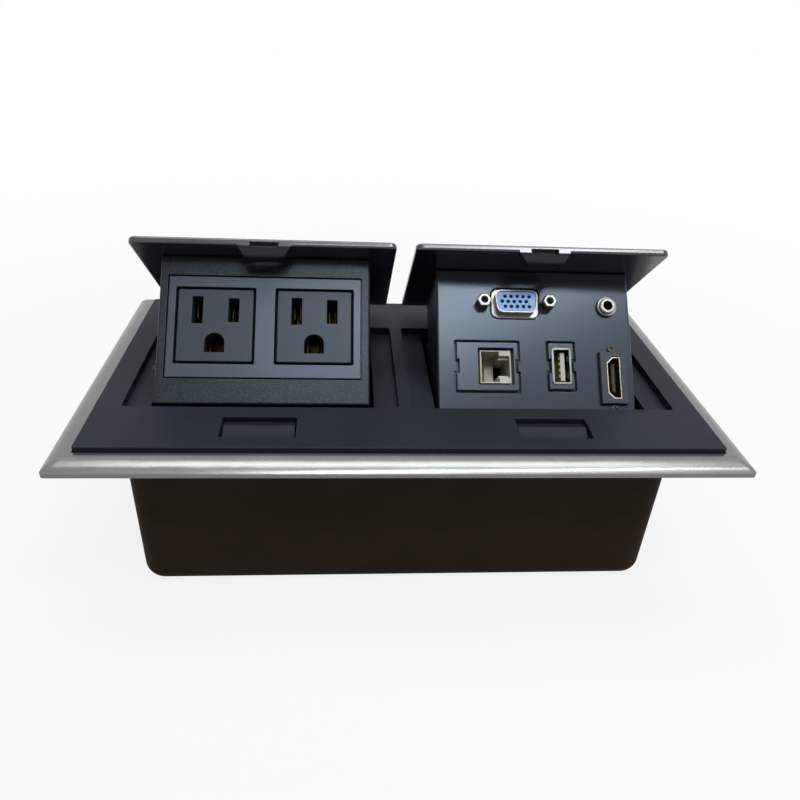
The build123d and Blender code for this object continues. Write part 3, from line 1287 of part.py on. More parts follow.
def usb_tongue_side():
    """Face of the tongue that carries the contacts."""
    return USB_PLACE[0] - USB_TONGUE_OFFSET


def make_usb_tongue():
    x, y = place(USB_PLACE)
    foot = USB_DEPTH - USB_FOOT
    with BuildPart() as tongue:
        with BuildSketch(deep(RIGHT, foot)):
            with Locations((x, y)):
                Rectangle(*[size - 2 * FIT_GAP for size in USB_BORE])
        extrude(amount=-USB_FOOT)
        with BuildSketch(deep(RIGHT, USB_TONGUE_SINK)):
            with Locations((usb_tongue_side() + USB_TONGUE_THICK / 2, y)):
                Rectangle(USB_TONGUE_THICK, USB_TONGUE_HEIGHT)
        extrude(amount=USB_TONGUE_SINK - foot)
    finish(tongue, "usb_tongue")


def make_usb_contacts():
    with BuildPart() as contacts:
        with BuildSketch(deep(RIGHT, USB_LEAD_SINK)):
            with Locations((usb_tongue_side() - USB_LEAD_THICK / 2, drop(USB_PLACE[1]))):
                with GridLocations(0, USB_PITCH, 1, USB_LEADS):
                    Rectangle(USB_LEAD_THICK, USB_LEAD_HEIGHT)
        extrude(amount=USB_LEAD_SINK - USB_DEPTH + USB_FOOT)
    finish(contacts, "usb_contacts")


def media_screw_places():
    x, y = place(MEDIA_PLACE)
    return [(x, y + hand * MEDIA_SCREW_SPACING / 2) for hand in SIDES]


def media_corners(inset):
    """Outline of the upright port, whose left corners are cut off."""
    x, y = place(MEDIA_PLACE)
    half_width, half_height = MEDIA_SHELL_LENGTH / 2 - inset, MEDIA_SHELL_HEIGHT / 2 - inset
    cut = MEDIA_CORNER
    return [(x + half_width, y + half_height), (x - half_width + cut, y + half_height),
            (x - half_width, y + half_height - cut), (x - half_width, y - half_height + cut),
            (x - half_width + cut, y - half_height), (x + half_width, y - half_height)]


def make_media_frame():
    with BuildPart() as frame:
        with BuildSketch(deep(RIGHT, -MEDIA_PROUD)):
            with Locations(place(MEDIA_PLACE)):
                Rectangle(MEDIA_BLOCK_LENGTH, MEDIA_BLOCK_HEIGHT)
        extrude(amount=-MEDIA_PROUD - PLATE_THICK)
        fillet(frame.faces().sort_by(outward(RIGHT))[-1].edges(), MEDIA_BLOCK_ROUND)
        with BuildSketch(deep(RIGHT, PLATE_THICK)):
            with Locations(place(MEDIA_PLACE)):
                Rectangle(MEDIA_BLOCK_LENGTH + 2 * MEDIA_FLANGE_SIDE,
                          MEDIA_SCREW_SPACING + 2 * MEDIA_SCREW_HEAD)
        extrude(amount=-BEZEL_FLANGE)
        with BuildSketch(deep(RIGHT, -MEDIA_PROUD)):
            Polygon(*media_corners(-FIT_GAP), align=None)
        extrude(amount=-MEDIA_PROUD - PLATE_THICK - BEZEL_FLANGE, mode=Mode.SUBTRACT)
        with BuildSketch(deep(RIGHT, 0)):
            with Locations(*media_screw_places()):
                Circle(MEDIA_SCREW_HOLE)
        extrude(amount=-PLATE_THICK - BEZEL_FLANGE, mode=Mode.SUBTRACT)
    finish(frame, "media_frame")


def make_media_shell():
    front = MEDIA_SHELL_SINK - MEDIA_PROUD
    with BuildPart() as shell:
        with BuildSketch(deep(RIGHT, front)):
            Polygon(*media_corners(0), align=None)
            Polygon(*media_corners(MEDIA_WALL), align=None, mode=Mode.SUBTRACT)
        extrude(amount=front - MEDIA_DEPTH)
    finish(shell, "media_shell")


def make_media_tongue():
    foot = MEDIA_DEPTH - MEDIA_FOOT
    tip = MEDIA_TONGUE_SINK - MEDIA_PROUD
    with BuildPart() as tongue:
        with BuildSketch(deep(RIGHT, foot)):
            Polygon(*media_corners(MEDIA_WALL + FIT_GAP), align=None)
        extrude(amount=-MEDIA_FOOT)
        with BuildSketch(deep(RIGHT, tip)):
            with Locations(place(MEDIA_PLACE)):
                Rectangle(MEDIA_TONGUE_THICK, MEDIA_TONGUE_HEIGHT)
        extrude(amount=tip - foot)
    finish(tongue, "media_tongue")


def make_media_screws():
    with BuildPart() as screws:
        with BuildSketch(deep(RIGHT, 0)):
            with Locations(*media_screw_places()):
                Circle(MEDIA_SCREW_HEAD)
        extrude(amount=MEDIA_SCREW_HEAD_HEIGHT)
        with BuildSketch(deep(RIGHT, 0)):
            with Locations(*media_screw_places()):
                Circle(MEDIA_SCREW_HOLE - FIT_GAP)
        extrude(amount=-PLATE_THICK - BEZEL_FLANGE - MEDIA_SCREW_TAIL)
        with BuildSketch(deep(RIGHT, -MEDIA_SCREW_HEAD_HEIGHT)):
            with Locations(*media_screw_places()):
                cross_drive(MEDIA_DRIVE_LENGTH, MEDIA_DRIVE_WIDTH)
        extrude(amount=-MEDIA_DRIVE_WIDTH, mode=Mode.SUBTRACT)
    finish(screws, "media_screws")


# Lift springs


def make_lift_spring(side):
    """Coil round the hinge pin with a leg that bears on the panel's underside."""
    start = (side * MODULE_X + SPRING_X, PIVOT_Y, PIVOT_Z)
    with BuildPart() as spring:
        with BuildLine():
            coil = Helix(SPRING_PITCH, SPRING_PITCH * SPRING_TURNS, SPRING_RADIUS, start, (1, 0, 0))
        with BuildSketch(Plane(coil @ 0, z_dir=coil % 0)):
            Circle(SPRING_WIRE / 2)
        sweep()
        foot = coil @ 0
        with Locations(foot):
            Sphere(SPRING_WIRE / 2)
            Cylinder(SPRING_WIRE / 2, SKIN_UNDER - foot.Z, align=(Align.CENTER, Align.CENTER, Align.MIN))
    finish(spring, f"{SIDE_NAME[side]}_lift_spring")


os.makedirs("parts", exist_ok=True)
make_trim_frame()
make_top_panel()
make_housing()
make_cable_grommets()
make_panel_screws()
for side in SIDES:
    make_hinge_pin(side)
    make_lift_spring(side)
    make_latch_button(side)
    make_latch_spring(side)
    make_lid(side)
    make_case(side)
    make_lid_screws(side)
make_socket_plate()
make_outlet_strip()
for hand in SIDES:
    make_outlet_face(hand)
for name in CONTACTS:
    make_contacts(name)
make_outlet_back()
make_terminal_screws()
make_data_plate()
make_video_shell()
make_video_insert()
make_video_posts()
make_video_body()
make_audio_bush()
make_audio_body()
make_bezel("network_frame", NETWORK_PLACE, NETWORK_BEZEL, NETWORK_PORT_PLACE, NETWORK_WINDOW)
make_network_jack()
make_network_contacts()
make_bezel("usb_frame", USB_PLACE, USB_BEZEL, USB_PLACE, USB_SHELL)
make_usb_shell()
make_usb_tongue()
make_usb_contacts()
make_media_frame()
make_media_shell()
make_media_tongue()
make_media_screws()
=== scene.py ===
import json
import math

import bmesh
import bpy
from mathutils import Matrix, Vector


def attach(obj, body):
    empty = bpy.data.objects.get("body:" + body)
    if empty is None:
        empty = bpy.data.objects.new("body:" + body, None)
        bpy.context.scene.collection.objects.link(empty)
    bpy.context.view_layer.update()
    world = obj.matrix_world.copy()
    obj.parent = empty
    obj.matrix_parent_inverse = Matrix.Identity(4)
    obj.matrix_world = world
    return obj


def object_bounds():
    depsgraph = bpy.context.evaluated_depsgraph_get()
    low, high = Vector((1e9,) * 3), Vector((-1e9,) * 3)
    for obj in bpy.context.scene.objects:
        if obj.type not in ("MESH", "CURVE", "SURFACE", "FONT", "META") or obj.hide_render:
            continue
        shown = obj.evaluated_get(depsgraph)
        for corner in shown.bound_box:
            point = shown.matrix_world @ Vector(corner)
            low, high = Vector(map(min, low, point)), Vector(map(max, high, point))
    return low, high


# Looks of the desk connectivity panel. Metres, in the frame of the CAD model.

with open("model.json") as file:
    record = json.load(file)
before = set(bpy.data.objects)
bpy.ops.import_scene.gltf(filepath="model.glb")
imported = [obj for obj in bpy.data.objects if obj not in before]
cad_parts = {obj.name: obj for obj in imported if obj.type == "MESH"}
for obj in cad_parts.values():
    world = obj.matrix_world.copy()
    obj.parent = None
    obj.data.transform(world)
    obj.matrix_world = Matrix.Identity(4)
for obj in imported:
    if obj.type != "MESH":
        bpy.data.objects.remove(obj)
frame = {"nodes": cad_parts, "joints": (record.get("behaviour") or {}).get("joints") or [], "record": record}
cad_box = [list(corner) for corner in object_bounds()]
nodes = frame["nodes"]
hinge = next(joint for joint in frame["joints"] if joint["name"] == "right_module_hinge")
mounts = {mount["name"]: mount["pos_m"] for mount in frame["record"]["mounts"]}

# Places and sizes of the CAD model that the finishes and the added pieces follow
OPEN_ANGLE = math.radians(hinge["range_deg"][1])
MODULE_X, PIVOT_Y, PIVOT_Z = hinge["pos_m"]
FRAME_HALF = cad_box[1][:2]
FLOOR = cad_box[0][2]

# Places on a shut module, where its faces and its lid lie along the axes
LID_UNDER = 0.0034
LEFT_FACE_Y = -0.0225
RIGHT_FACE_Y = -0.0145
LIP_BELOW_LID = 0.0001
SLOT_RIM_DEPTH = 0.0012

# Corners of a flat strip's section, in order: whether on its outer face, and at which edge
STRIP_CORNERS = ((0, -1), (0, 1), (1, 1), (1, -1))

IMAGE = 800
CAMERA_PLACE = (-0.02258, -0.24607, 0.13892)
CAMERA_YAW, CAMERA_PITCH, CAMERA_ROLL = 5.45, 31.25, -3.29
CAMERA_FOCAL_PIXELS = 712.08
SENSOR_WIDTH = 36.0

# Light that reaches the surfaces from all round, next to the two lamps
WORLD_LIGHT = 0.12

# The blue cast that all the black plastics reflect
BLUE_SHEEN = (0.72, 0.85, 1.0)

LID_SPECULAR = 0.85


# Materials


class Finish:
    """A node material whose colour, roughness and relief come from procedural textures."""

    def __init__(self, name, roughness, metallic=0.0, specular=0.5, tint=(1, 1, 1), edge=0.00022):
        self.material = bpy.data.materials.new(name)
        self.material.use_nodes = True
        self.nodes = self.material.node_tree.nodes
        self.links = self.material.node_tree.links
        self.shader = self.nodes["Principled BSDF"]
        self.set("Roughness", roughness)
        self.set("Metallic", metallic)
        self.set("Specular IOR Level", specular)
        self.set("Specular Tint", (*tint, 1))
        round_edges = self.add("ShaderNodeBevel", samples=4)
        round_edges.inputs["Radius"].default_value = edge
        self.normal = round_edges.outputs["Normal"]
        self.join(self.normal, self.shader.inputs["Normal"])

    def set(self, socket, value):
        self.shader.inputs[socket].default_value = value

    def add(self, kind, **values):
        node = self.nodes.new(kind)
        for key, value in values.items():
            setattr(node, key, value)
        return node

    def join(self, source, target):
        self.links.new(source, target)

    def source(self, socket):
        """What already feeds a socket of the shader."""
        return self.shader.inputs[socket].links[0].from_socket

    def arithmetic(self, operation, *values):
        """One step of arithmetic on sockets or numbers."""
        node = self.add("ShaderNodeMath", operation=operation)
        for socket, value in zip(node.inputs, values):
            if isinstance(value, (int, float)):
                socket.default_value = value
            else:
                self.join(value, socket)
        return node.outputs["Value"]

    def weigh(self, first, second, share):
        """Two textures added up, the first by its share and the second by the rest."""
        main = self.arithmetic("MULTIPLY", first, share)
        rest = self.arithmetic("MULTIPLY", second, 1 - share)
        return self.arithmetic("ADD", main, rest)

    def roughen(self, where, more):
        """Adds to the roughness where a mask is one."""
        extra = self.arithmetic("MULTIPLY", where, more)
        self.join(self.arithmetic("ADD", self.source("Roughness"), extra), self.shader.inputs["Roughness"])

    def coordinates(self, stretch=(1, 1, 1), tilt=0.0):
        """Object coordinates turned about X, so that grain follows a tilted face, and then stretched."""
        place = self.add("ShaderNodeTexCoord")
        turn = self.add("ShaderNodeMapping")
        turn.inputs["Rotation"].default_value = (tilt, 0, 0)
        scale = self.add("ShaderNodeMapping")
        scale.inputs["Scale"].default_value = stretch
        self.join(place.outputs["Object"], turn.inputs["Vector"])
        self.join(turn.outputs["Vector"], scale.inputs["Vector"])
        return scale.outputs["Vector"]

    def noise(self, scale, detail=3.0, rough=0.55, stretch=(1, 1, 1), tilt=0.0):
        node = self.add("ShaderNodeTexNoise")
        node.inputs["Scale"].default_value = scale
        node.inputs["Detail"].default_value = detail
        node.inputs["Roughness"].default_value = rough
        self.join(self.coordinates(stretch, tilt), node.inputs["Vector"])
        return node.outputs["Fac"]

    def shut_place(self, along_y, along_z, start):
        """Where a point would stand along one axis with its module shut, measured from a start."""
        place = self.add("ShaderNodeTexCoord")
        reach = self.add("ShaderNodeVectorMath", operation="DOT_PRODUCT")
        reach.inputs[1].default_value = (0, along_y, along_z)
        self.join(place.outputs["Object"], reach.inputs[0])
        start += along_y * PIVOT_Y + along_z * PIVOT_Z
        return self.arithmetic("SUBTRACT", reach.outputs["Value"], start)

    def depth(self, face_y):
        """Depth behind a module's front face, whose place along Y is given for the shut module."""
        return self.shut_place(math.cos(OPEN_ANGLE), -math.sin(OPEN_ANGLE), face_y - PIVOT_Y)

    def shade_and_dull_inside(self, face_y, limit, share):
        """Paints shade into what lies deeper than a limit by darkening its colour, and dulls it there, where
        a mould leaves the plastic rough.
        """
        inside = self.arithmetic("GREATER_THAN", self.depth(face_y), limit)
        # Painted shade: the colour deep inside is multiplied down by the share, standing in for the shadow
        # there.
        painted_shade = self.add("ShaderNodeMix", data_type="RGBA", blend_type="MULTIPLY")
        # A mix node has its share in socket 0 and its colours in 6 and 7
        painted_shade.inputs[7].default_value = (share, share, share, 1)
        self.join(inside, painted_shade.inputs[0])
        self.join(self.source("Base Color"), painted_shade.inputs[6])
        self.join(painted_shade.outputs[2], self.shader.inputs["Base Color"])
        self.roughen(inside, 0.4)

    def blend(self, share, first, second):
        """The first number where the share is zero and the second where it is one."""
        node = self.add("ShaderNodeMix", data_type="FLOAT")
        self.join(share, node.inputs[0])
        self.join(first, node.inputs[2])
        self.join(second, node.inputs[3])
        return node.outputs[0]

    def colour(self, value, low, high):
        """Colour that runs from low to high with a texture."""
        node = self.add("ShaderNodeValToRGB")
        for element, place, colour in zip(node.color_ramp.elements, (0.3, 0.7), (low, high)):
            element.position = place
            element.color = (*colour, 1)
        self.join(value, node.inputs["Fac"])
        self.join(node.outputs["Color"], self.shader.inputs["Base Color"])

    def roughness(self, value, low, high):
        spread = self.add("ShaderNodeMapRange")
        spread.inputs["To Min"].default_value = low
        spread.inputs["To Max"].default_value = high
        self.join(value, spread.inputs["Value"])
        self.join(spread.outputs["Result"], self.shader.inputs["Roughness"])

    def relief(self, value, strength, distance):
        bump = self.add("ShaderNodeBump")
        bump.inputs["Strength"].default_value = strength
        bump.inputs["Distance"].default_value = distance
        self.join(value, bump.inputs["Height"])
        self.join(self.normal, bump.inputs["Normal"])
        self.normal = bump.outputs["Normal"]
        self.join(self.normal, self.shader.inputs["Normal"])


def moulded(name, low, high, rough, grain=2600.0, strength=0.2, tilt=0.0, cloud=38.0, **shine):
    """Moulded plastic: cloudy colour, fine spark-eroded grain and a little uneven gloss."""
    finish = Finish(name, sum(rough) / 2, **shine)
    finish.colour(finish.noise(cloud, 5.0, 0.6, tilt=tilt), low, high)
    fine = finish.noise(grain, 2.0, 0.6, tilt=tilt)
    worn = finish.noise(16.0, 4.0, 0.6)
    finish.roughness(finish.weigh(fine, worn, 0.5), *rough)
    finish.relief(fine, strength, 0.00006)
    return finish


def metal(name, low, high, rough, grain=2500.0, stretch=(1, 1, 1), strength=0.08, tilt=0.0):
    """Metal with fine scratches along one direction and faint clouding."""
    finish = Finish(name, sum(rough) / 2, metallic=1.0)
    lines = finish.noise(grain, 4.0, 0.65, stretch, tilt)
    both = finish.weigh(lines, finish.noise(120.0, 3.0), 0.6)
    finish.colour(both, low, high)
    finish.roughness(both, *rough)
    finish.relief(lines, strength, 0.00003)
    return finish


def lid_plastic(name):
    """Polished black lid whose catch lip is left rough from the mould."""
    finish = moulded(name, (0.008, 0.008, 0.010), (0.013, 0.013, 0.017), (0.16, 0.24), strength=0.02,
                     specular=LID_SPECULAR, edge=0.0002)
    height = finish.shut_place(math.sin(OPEN_ANGLE), math.cos(OPEN_ANGLE), LID_UNDER - PIVOT_Z)
    lip = finish.arithmetic("LESS_THAN", height, -LIP_BELOW_LID)
    finish.roughen(lip, 0.5)
    shine = finish.arithmetic("SUBTRACT", LID_SPECULAR, finish.arithmetic("MULTIPLY", lip, 0.72))
    finish.join(shine, finish.shader.inputs["Specular IOR Level"])
    return finish


def outlet_plastic(name):
    """Satin black whose slots are dull inside and darkened inside by painted shade."""
    finish = moulded(name, (0.020, 0.023, 0.032), (0.030, 0.034, 0.046), (0.36, 0.46), strength=0.15,
                     tilt=OPEN_ANGLE, specular=0.34, tint=BLUE_SHEEN)
    # Painted shade: colour deeper than the slot rim is cut to 15 per cent, and roughness is added there.
    finish.shade_and_dull_inside(LEFT_FACE_Y, SLOT_RIM_DEPTH, 0.15)
    return finish


def brushed_frame(name):
    """Satin silver whose grain runs along each rail and turns at the mitred corners."""
    finish = Finish(name, 0.3, metallic=0.8, edge=0.0003)
    place = finish.add("ShaderNodeTexCoord")
    split = finish.add("ShaderNodeSeparateXYZ")
    finish.join(place.outputs["Object"], split.inputs[0])
    from_edge = []
    for half, along in zip(FRAME_HALF, split.outputs):
        from_edge.append(finish.arithmetic("SUBTRACT", half, finish.arithmetic("ABSOLUTE", along)))
    side_rail = finish.arithmetic("LESS_THAN", *from_edge)
    long_grain = finish.noise(2400.0, 3.0, 0.6, (0.02, 1, 1))
    side_grain = finish.noise(2400.0, 3.0, 0.6, (1, 0.02, 1))
    grain = finish.blend(side_rail, long_grain, side_grain)
    both = finish.weigh(grain, finish.noise(60.0, 4.0, 0.6), 0.6)
    finish.colour(both, (0.175, 0.175, 0.172), (0.207, 0.207, 0.207))
    finish.roughness(both, 0.20, 0.32)
    finish.relief(grain, 0.07, 0.00003)
    return finish


# Each finish has its lowest and highest colour and its range of roughness

PLASTICS = {
    "panel_black": dict(low=(0.009, 0.01, 0.015), high=(0.014, 0.016, 0.023), rough=(0.44, 0.56),
                        specular=0.14, tint=BLUE_SHEEN),
    "case_black": dict(low=(0.006, 0.007, 0.009), high=(0.01, 0.011, 0.015), rough=(0.42, 0.52),
                       specular=0.18, tint=BLUE_SHEEN),
    "housing_black": dict(low=(0.029, 0.0185, 0.012), high=(0.04, 0.026, 0.017), rough=(0.6, 0.75),
                          grain=1500.0, specular=0.04),
    "socket_plate": dict(low=(0.002, 0.003, 0.004), high=(0.022, 0.026, 0.036), rough=(0.2, 0.5),
                         grain=1300.0, cloud=1100.0, strength=0.8, tilt=OPEN_ANGLE, specular=0.27,
                         tint=BLUE_SHEEN),
    "strip_black": dict(low=(0.024, 0.027, 0.039), high=(0.033, 0.037, 0.052), rough=(0.3, 0.38),
                        strength=0.15, tilt=OPEN_ANGLE, specular=0.5, tint=BLUE_SHEEN),
    "plate_black": dict(low=(0.018, 0.021, 0.032), high=(0.025, 0.029, 0.042), rough=(0.2, 0.26),
                        strength=0.12, tilt=OPEN_ANGLE, specular=0.42, tint=BLUE_SHEEN),
    "bezel_black": dict(low=(0.026, 0.029, 0.045), high=(0.034, 0.038, 0.057), rough=(0.22, 0.28),
                        strength=0.12, tilt=OPEN_ANGLE, specular=0.5, tint=BLUE_SHEEN),
    "block_black": dict(low=(0.028, 0.03, 0.042), high=(0.036, 0.038, 0.052), rough=(0.4, 0.5),
                        strength=0.15, tilt=OPEN_ANGLE, specular=0.31, tint=BLUE_SHEEN),
    "button_black": dict(low=(0.007, 0.008, 0.011), high=(0.011, 0.012, 0.017), rough=(0.36, 0.46),
                         strength=0.1, specular=0.11, tint=BLUE_SHEEN),
    "grommet_rubber": dict(low=(0.01, 0.01, 0.01), high=(0.018, 0.018, 0.018), rough=(0.7, 0.85),
                           specular=0.2),
    "connector_blue": dict(low=(0.13, 0.31, 0.64), high=(0.18, 0.39, 0.76), rough=(0.3, 0.4),
                           strength=0.08, tilt=OPEN_ANGLE, specular=0.5),
    "connector_black": dict(low=(0.006, 0.006, 0.006), high=(0.012, 0.012, 0.012), rough=(0.4, 0.5),
                            specular=0.25),
    "connector_ivory": dict(low=(0.31, 0.3, 0.235), high=(0.4, 0.39, 0.32), rough=(0.3, 0.4),
                            strength=0.08, specular=0.5),
}

METALS = {
    "screw_black": dict(low=(0.02, 0.02, 0.02), high=(0.06, 0.06, 0.06), rough=(0.35, 0.5)),
    "pin_steel": dict(low=(0.4, 0.4, 0.41), high=(0.58, 0.58, 0.59), rough=(0.25, 0.4),
                      grain=3000.0, stretch=(0.03, 1, 1)),
    "spring_steel": dict(low=(0.28, 0.28, 0.3), high=(0.46, 0.46, 0.48), rough=(0.3, 0.45)),
    "contact_brass": dict(low=(0.34, 0.22, 0.07), high=(0.58, 0.4, 0.15), rough=(0.28, 0.44),
                          stretch=(1, 1, 0.1), tilt=OPEN_ANGLE),
    # A copy of contact_brass made far darker, as painted shade on the mains contacts deep in the slots.
    "socket_brass": dict(low=(0.045, 0.03, 0.012), high=(0.16, 0.11, 0.045), rough=(0.3, 0.5),
                         grain=1800.0, stretch=(1, 1, 0.1), tilt=OPEN_ANGLE),
    "shell_gold": dict(low=(0.34, 0.27, 0.2), high=(0.52, 0.42, 0.31), rough=(0.22, 0.34),
                       grain=3000.0, stretch=(1, 0.2, 1), strength=0.04, tilt=OPEN_ANGLE),
    "connector_nickel": dict(low=(0.115, 0.115, 0.108), high=(0.205, 0.201, 0.19), rough=(0.22, 0.34),
                             grain=3000.0, stretch=(1, 0.2, 1), strength=0.04, tilt=OPEN_ANGLE),
}


def make_finishes():
    made = {name: moulded(name, **look) for name, look in PLASTICS.items()}
    made.update({name: metal(name, **look) for name, look in METALS.items()})
    made["frame_silver"] = brushed_frame("frame_silver")
    made["lid_black"] = lid_plastic("lid_black")
    made["outlet_black"] = outlet_plastic("outlet_black")
    return made


# Nodes whose finish differs from the one that their slot has elsewhere
FINISH_OF_NODE = {
    "socket_plate": "socket_plate",
    "outlet_strip": "strip_black",
    "media_frame": "block_black",
    "media_shell": "shell_gold",
    # The mains contacts take the darkened brass, which paints the shade inside the slots.
    "neutral_contacts": "socket_brass",
    "hot_contacts": "socket_brass",
    "ground_contacts": "socket_brass",
}


def dress_nodes(finishes):
    slots = {entry["node"]: entry["material_slot"] for entry in frame["record"]["subparts"]}
    for name, node in nodes.items():
        finish = finishes[FINISH_OF_NODE.get(name, slots[name])]
        for slot in node.material_slots:
            slot.material = finish.material


# Small pieces that the solids leave out

pivot = Vector((MODULE_X, PIVOT_Y, PIVOT_Z))
opening = Matrix.Rotation(-OPEN_ANGLE, 3, "X")


def on_right_module(x, proud, drop):
    """Where a point stands with the right module open, by its distance from the middle, out of the face and
    down from the lid."""
    return pivot + opening @ (Vector((MODULE_X + x, RIGHT_FACE_Y - proud, LID_UNDER - drop)) - pivot)


def face_place(mount):
    """Where a mount of the right face lies, from the middle and down from the lid."""
    shut = pivot + opening.inverted() @ (Vector(mounts[mount]) - pivot)
    return shut.x - MODULE_X, LID_UNDER - shut.z


def add_piece(name, points, faces, finish, body):
    mesh = bpy.data.meshes.new(name)
    mesh.from_pydata(points, [], faces)
    mesh.materials.append(finish.material)
    solid = bmesh.new()
    solid.from_mesh(mesh)
    bmesh.ops.recalc_face_normals(solid, faces=solid.faces)
    solid.to_mesh(mesh)
    solid.free()
    piece = bpy.data.objects.new(name, mesh)
    bpy.context.collection.objects.link(piece)
    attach(piece, body)
    return piece


def tube_faces(first, sections, corners):
    """Faces of a closed tube through sections of a few corners each, with a cap at both ends."""
    last = first + (sections - 1) * corners
    faces = [list(range(first, first + corners)), list(range(last, last + corners))]
    for start in range(first, last, corners):
        for corner in range(corners):
            after = (corner + 1) % corners
            faces.append([start + corner, start + after, start + corners + after, start + corners + corner])
    return faces


def strip_faces(points, sections):
    """Faces of the flat strip whose sections were added last."""
    corners = len(STRIP_CORNERS)
    return tube_faces(len(points) - corners * sections, sections, corners)


def tongue_strips(finish):
    """Ten strips on one side of the media port's tongue and nine on the other, each with a sloped nose."""
    x, drop = face_place("media_port")
    half_tongue, thick, half_width, spacing = 0.00055, 0.00008, 0.00028, 0.0010
    run = ((0.0008, 0.2), (0.0004, 1.0), (-0.0050, 1.0))
    points, faces = [], []
    for side, count in ((-1, 10), (1, 9)):
        for number in range(count):
            middle = drop + (number - (count - 1) / 2) * spacing
            for proud, rise in run:
                for outer, edge in STRIP_CORNERS:
                    across = x + side * (half_tongue + outer * thick * rise)
                    points.append(on_right_module(across, proud, middle + edge * half_width))
            faces += strip_faces(points, len(run))
    return add_piece("media_tongue_strips", points, faces, finish, "right_module")


def shell_springs(finish):
    """Four bowed springs cut from the long walls of the serial port's shell, which grip a plug."""
    x, drop = face_place("usb_port")
    inner_wall, thick, half_width, spread = 0.00295, 0.00015, 0.0011, 0.0032
    start, length = 0.0012, 0.0060
    bow = ((0.0, 0.00002), (0.12, 0.0002), (0.3, 0.0005), (0.45, 0.00062), (0.6, 0.0005), (1.0, 0.00002))
    points, faces = [], []
    for side in (-1, 1):
        for middle in (drop - spread, drop + spread):
            for share, lift in bow:
                proud = -start - length * share
                for outer, edge in STRIP_CORNERS:
                    across = x + side * (inner_wall - lift - outer * thick)
                    points.append(on_right_module(across, proud, middle + edge * half_width))
            faces += strip_faces(points, len(bow))
    return add_piece("usb_shell_springs", points, faces, finish, "right_module")


def screw_thread(name, mount, finish, radius, start, end, pitch, height):
    """A ridge that winds along the post or sleeve at a mount, inwards where the height is negative."""
    x, drop = face_place(mount)
    steps, fade_steps, lean, sink = 36, 12, 0.3, 0.05
    count = int((start - end) / pitch * steps)
    points = []
    for number in range(count + 1):
        angle = 2 * math.pi * number / steps
        proud = start - pitch * number / steps
        fade = min(1.0, number / fade_steps, (count - number) / fade_steps)
        for shift, rise in ((-lean, -sink), (0.0, fade), (lean, -sink)):
            reach = radius + height * rise
            points.append(on_right_module(x + reach * math.cos(angle), proud + shift * pitch,
                                          drop + reach * math.sin(angle)))
    piece = add_piece(name, points, tube_faces(0, count + 1, 3), finish, "right_module")
    for face in piece.data.polygons:
        face.use_smooth = len(face.vertices) == 4
    return piece


def make_pieces(finishes):
    nickel, brass = finishes["connector_nickel"], finishes["contact_brass"]
    tongue_strips(brass)
    shell_springs(nickel)
    for side in ("left", "right"):
        screw_thread("video_thread_" + side, "video_post_" + side, nickel, radius=0.00142, start=0.0043,
                     end=0.0013, pitch=0.00064, height=-0.00022)
    screw_thread("audio_thread", "audio_jack", nickel, radius=0.0030, start=0.0023, end=0.0015,
                 pitch=0.0004, height=0.00012)


# Camera, light and floor


def make_camera():
    yaw, pitch, roll = (math.radians(a) for a in (CAMERA_YAW, CAMERA_PITCH, CAMERA_ROLL))
    ahead = Vector((math.sin(yaw) * math.cos(pitch), math.cos(yaw) * math.cos(pitch), -math.sin(pitch)))
    right = Vector((math.cos(yaw), -math.sin(yaw), 0))
    down = ahead.cross(right)
    image_right = right * math.cos(roll) + down * math.sin(roll)
    image_down = down * math.cos(roll) - right * math.sin(roll)
    data = bpy.data.cameras.new("camera")
    data.sensor_width = SENSOR_WIDTH
    data.lens = CAMERA_FOCAL_PIXELS / IMAGE * data.sensor_width
    data.clip_start = 0.01
    camera = bpy.data.objects.new("camera", data)
    turn = Matrix((image_right, -image_down, -ahead)).transposed().to_4x4()
    camera.matrix_world = Matrix.Translation(CAMERA_PLACE) @ turn
    bpy.context.collection.objects.link(camera)
    bpy.context.scene.camera = camera


def make_lamp(name, place, aim, size, power, colour):
    data = bpy.data.lights.new(name, "AREA")
    data.shape = "RECTANGLE"
    data.size, data.size_y = size
    data.energy = power
    data.color = colour
    lamp = bpy.data.objects.new(name, data)
    ahead = Vector(aim) - Vector(place)
    lamp.rotation_euler = ahead.to_track_quat("-Z", "Y").to_euler()
    lamp.location = place
    bpy.context.collection.objects.link(lamp)


def shown_rays(tree):
    """One for camera, glossy and transmission rays, which see the background as plain white."""
    path = tree.nodes.new("ShaderNodeLightPath")
    share = path.outputs["Is Camera Ray"]
    for ray in ("Is Glossy Ray", "Is Transmission Ray"):
        either = tree.nodes.new("ShaderNodeMath")
        either.operation = "MAXIMUM"
        tree.links.new(share, either.inputs[0])
        tree.links.new(path.outputs[ray], either.inputs[1])
        share = either.outputs[0]
    return share


def make_world():
    world = bpy.data.worlds.new("studio")
    bpy.context.scene.world = world
    world.use_nodes = True
    tree = world.node_tree
    tree.nodes.clear()
    out = tree.nodes.new("ShaderNodeOutputWorld")
    mix = tree.nodes.new("ShaderNodeMixShader")
    light = tree.nodes.new("ShaderNodeBackground")
    light.inputs["Color"].default_value = (0.92, 0.96, 1.0, 1)
    light.inputs["Strength"].default_value = WORLD_LIGHT
    white = tree.nodes.new("ShaderNodeBackground")
    white.inputs["Color"].default_value = (1, 1, 1, 1)
    white.inputs["Strength"].default_value = 1.0
    tree.links.new(shown_rays(tree), mix.inputs["Fac"])
    tree.links.new(light.outputs[0], mix.inputs[1])
    tree.links.new(white.outputs[0], mix.inputs[2])
    tree.links.new(mix.outputs[0], out.inputs["Surface"])


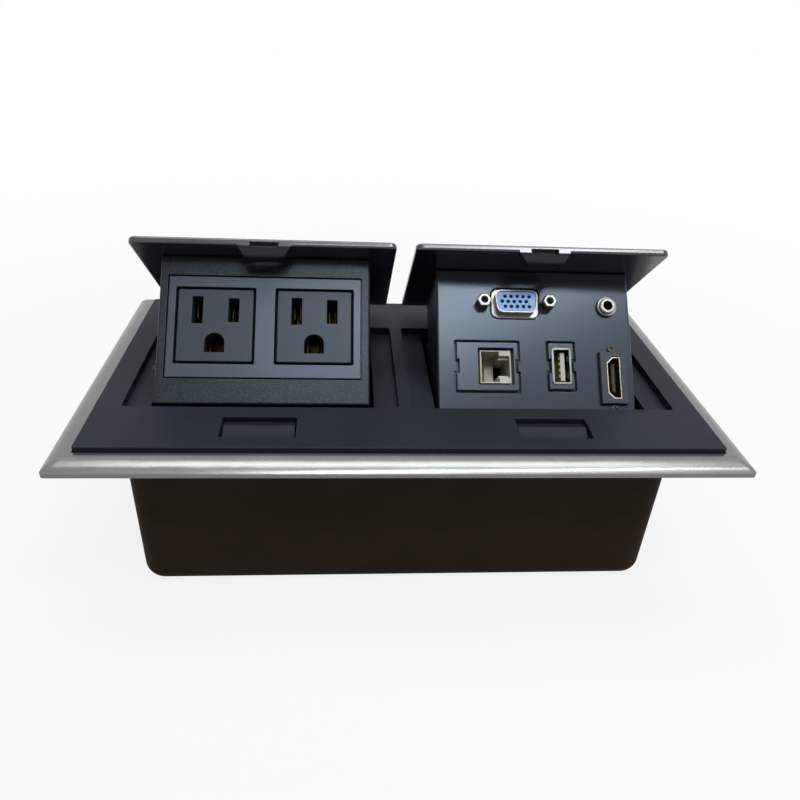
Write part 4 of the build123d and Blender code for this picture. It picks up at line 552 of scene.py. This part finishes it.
def make_floor():
    """A pale floor that shows a soft shadow near the object and turns to plain white further out."""
    reach = 12.0
    shadow_radius, white_radius, near_white = 0.16, 0.60, 0.86
    corners = [(x * reach, y * reach, FLOOR) for x, y in ((-1, -1), (1, -1), (1, 1), (-1, 1))]
    mesh = bpy.data.meshes.new("floor")
    mesh.from_pydata(corners, [], [(0, 1, 2, 3)])
    floor = bpy.data.objects.new("floor", mesh)
    bpy.context.collection.objects.link(floor)
    paint = bpy.data.materials.new("floor")
    paint.use_nodes = True
    tree = paint.node_tree
    shader = tree.nodes["Principled BSDF"]
    shader.inputs["Base Color"].default_value = (0.62, 0.62, 0.62, 1)
    shader.inputs["Roughness"].default_value = 0.9
    shader.inputs["Specular IOR Level"].default_value = 0.0
    white = tree.nodes.new("ShaderNodeEmission")
    white.inputs["Strength"].default_value = 1.0
    place = tree.nodes.new("ShaderNodeTexCoord")
    length = tree.nodes.new("ShaderNodeVectorMath")
    length.operation = "LENGTH"
    spread = tree.nodes.new("ShaderNodeMapRange")
    spread.interpolation_type = "SMOOTHSTEP"
    spread.inputs["From Min"].default_value = shadow_radius
    spread.inputs["From Max"].default_value = white_radius
    spread.inputs["To Min"].default_value = near_white
    spread.inputs["To Max"].default_value = 1.0
    share = tree.nodes.new("ShaderNodeMath")
    share.operation = "MULTIPLY"
    mix = tree.nodes.new("ShaderNodeMixShader")
    tree.links.new(place.outputs["Object"], length.inputs[0])
    tree.links.new(length.outputs["Value"], spread.inputs["Value"])
    tree.links.new(spread.outputs["Result"], share.inputs[0])
    tree.links.new(shown_rays(tree), share.inputs[1])
    tree.links.new(share.outputs[0], mix.inputs["Fac"])
    tree.links.new(shader.outputs[0], mix.inputs[1])
    tree.links.new(white.outputs[0], mix.inputs[2])
    tree.links.new(mix.outputs[0], tree.nodes["Material Output"].inputs["Surface"])
    mesh.materials.append(paint)


def make_lights():
    """A broad light overhead, mirrored in the rails, and a narrow one in front, mirrored in the faces."""
    make_lamp("overhead", place=(0.06, 0.12, 0.91), aim=(0.06, 0.08, 0), size=(0.95, 0.45), power=7.2,
              colour=(0.96, 0.985, 1.0))
    make_lamp("front", place=(0.21, -0.394, 0.834), aim=(0.03, 0, 0.02), size=(0.78, 0.11), power=5.4,
              colour=(0.92, 0.965, 1.0))


finishes = make_finishes()
dress_nodes(finishes)
make_pieces(finishes)
make_floor()
make_world()
make_lights()
make_camera()
bpy.context.scene.view_settings.view_transform = "Standard"
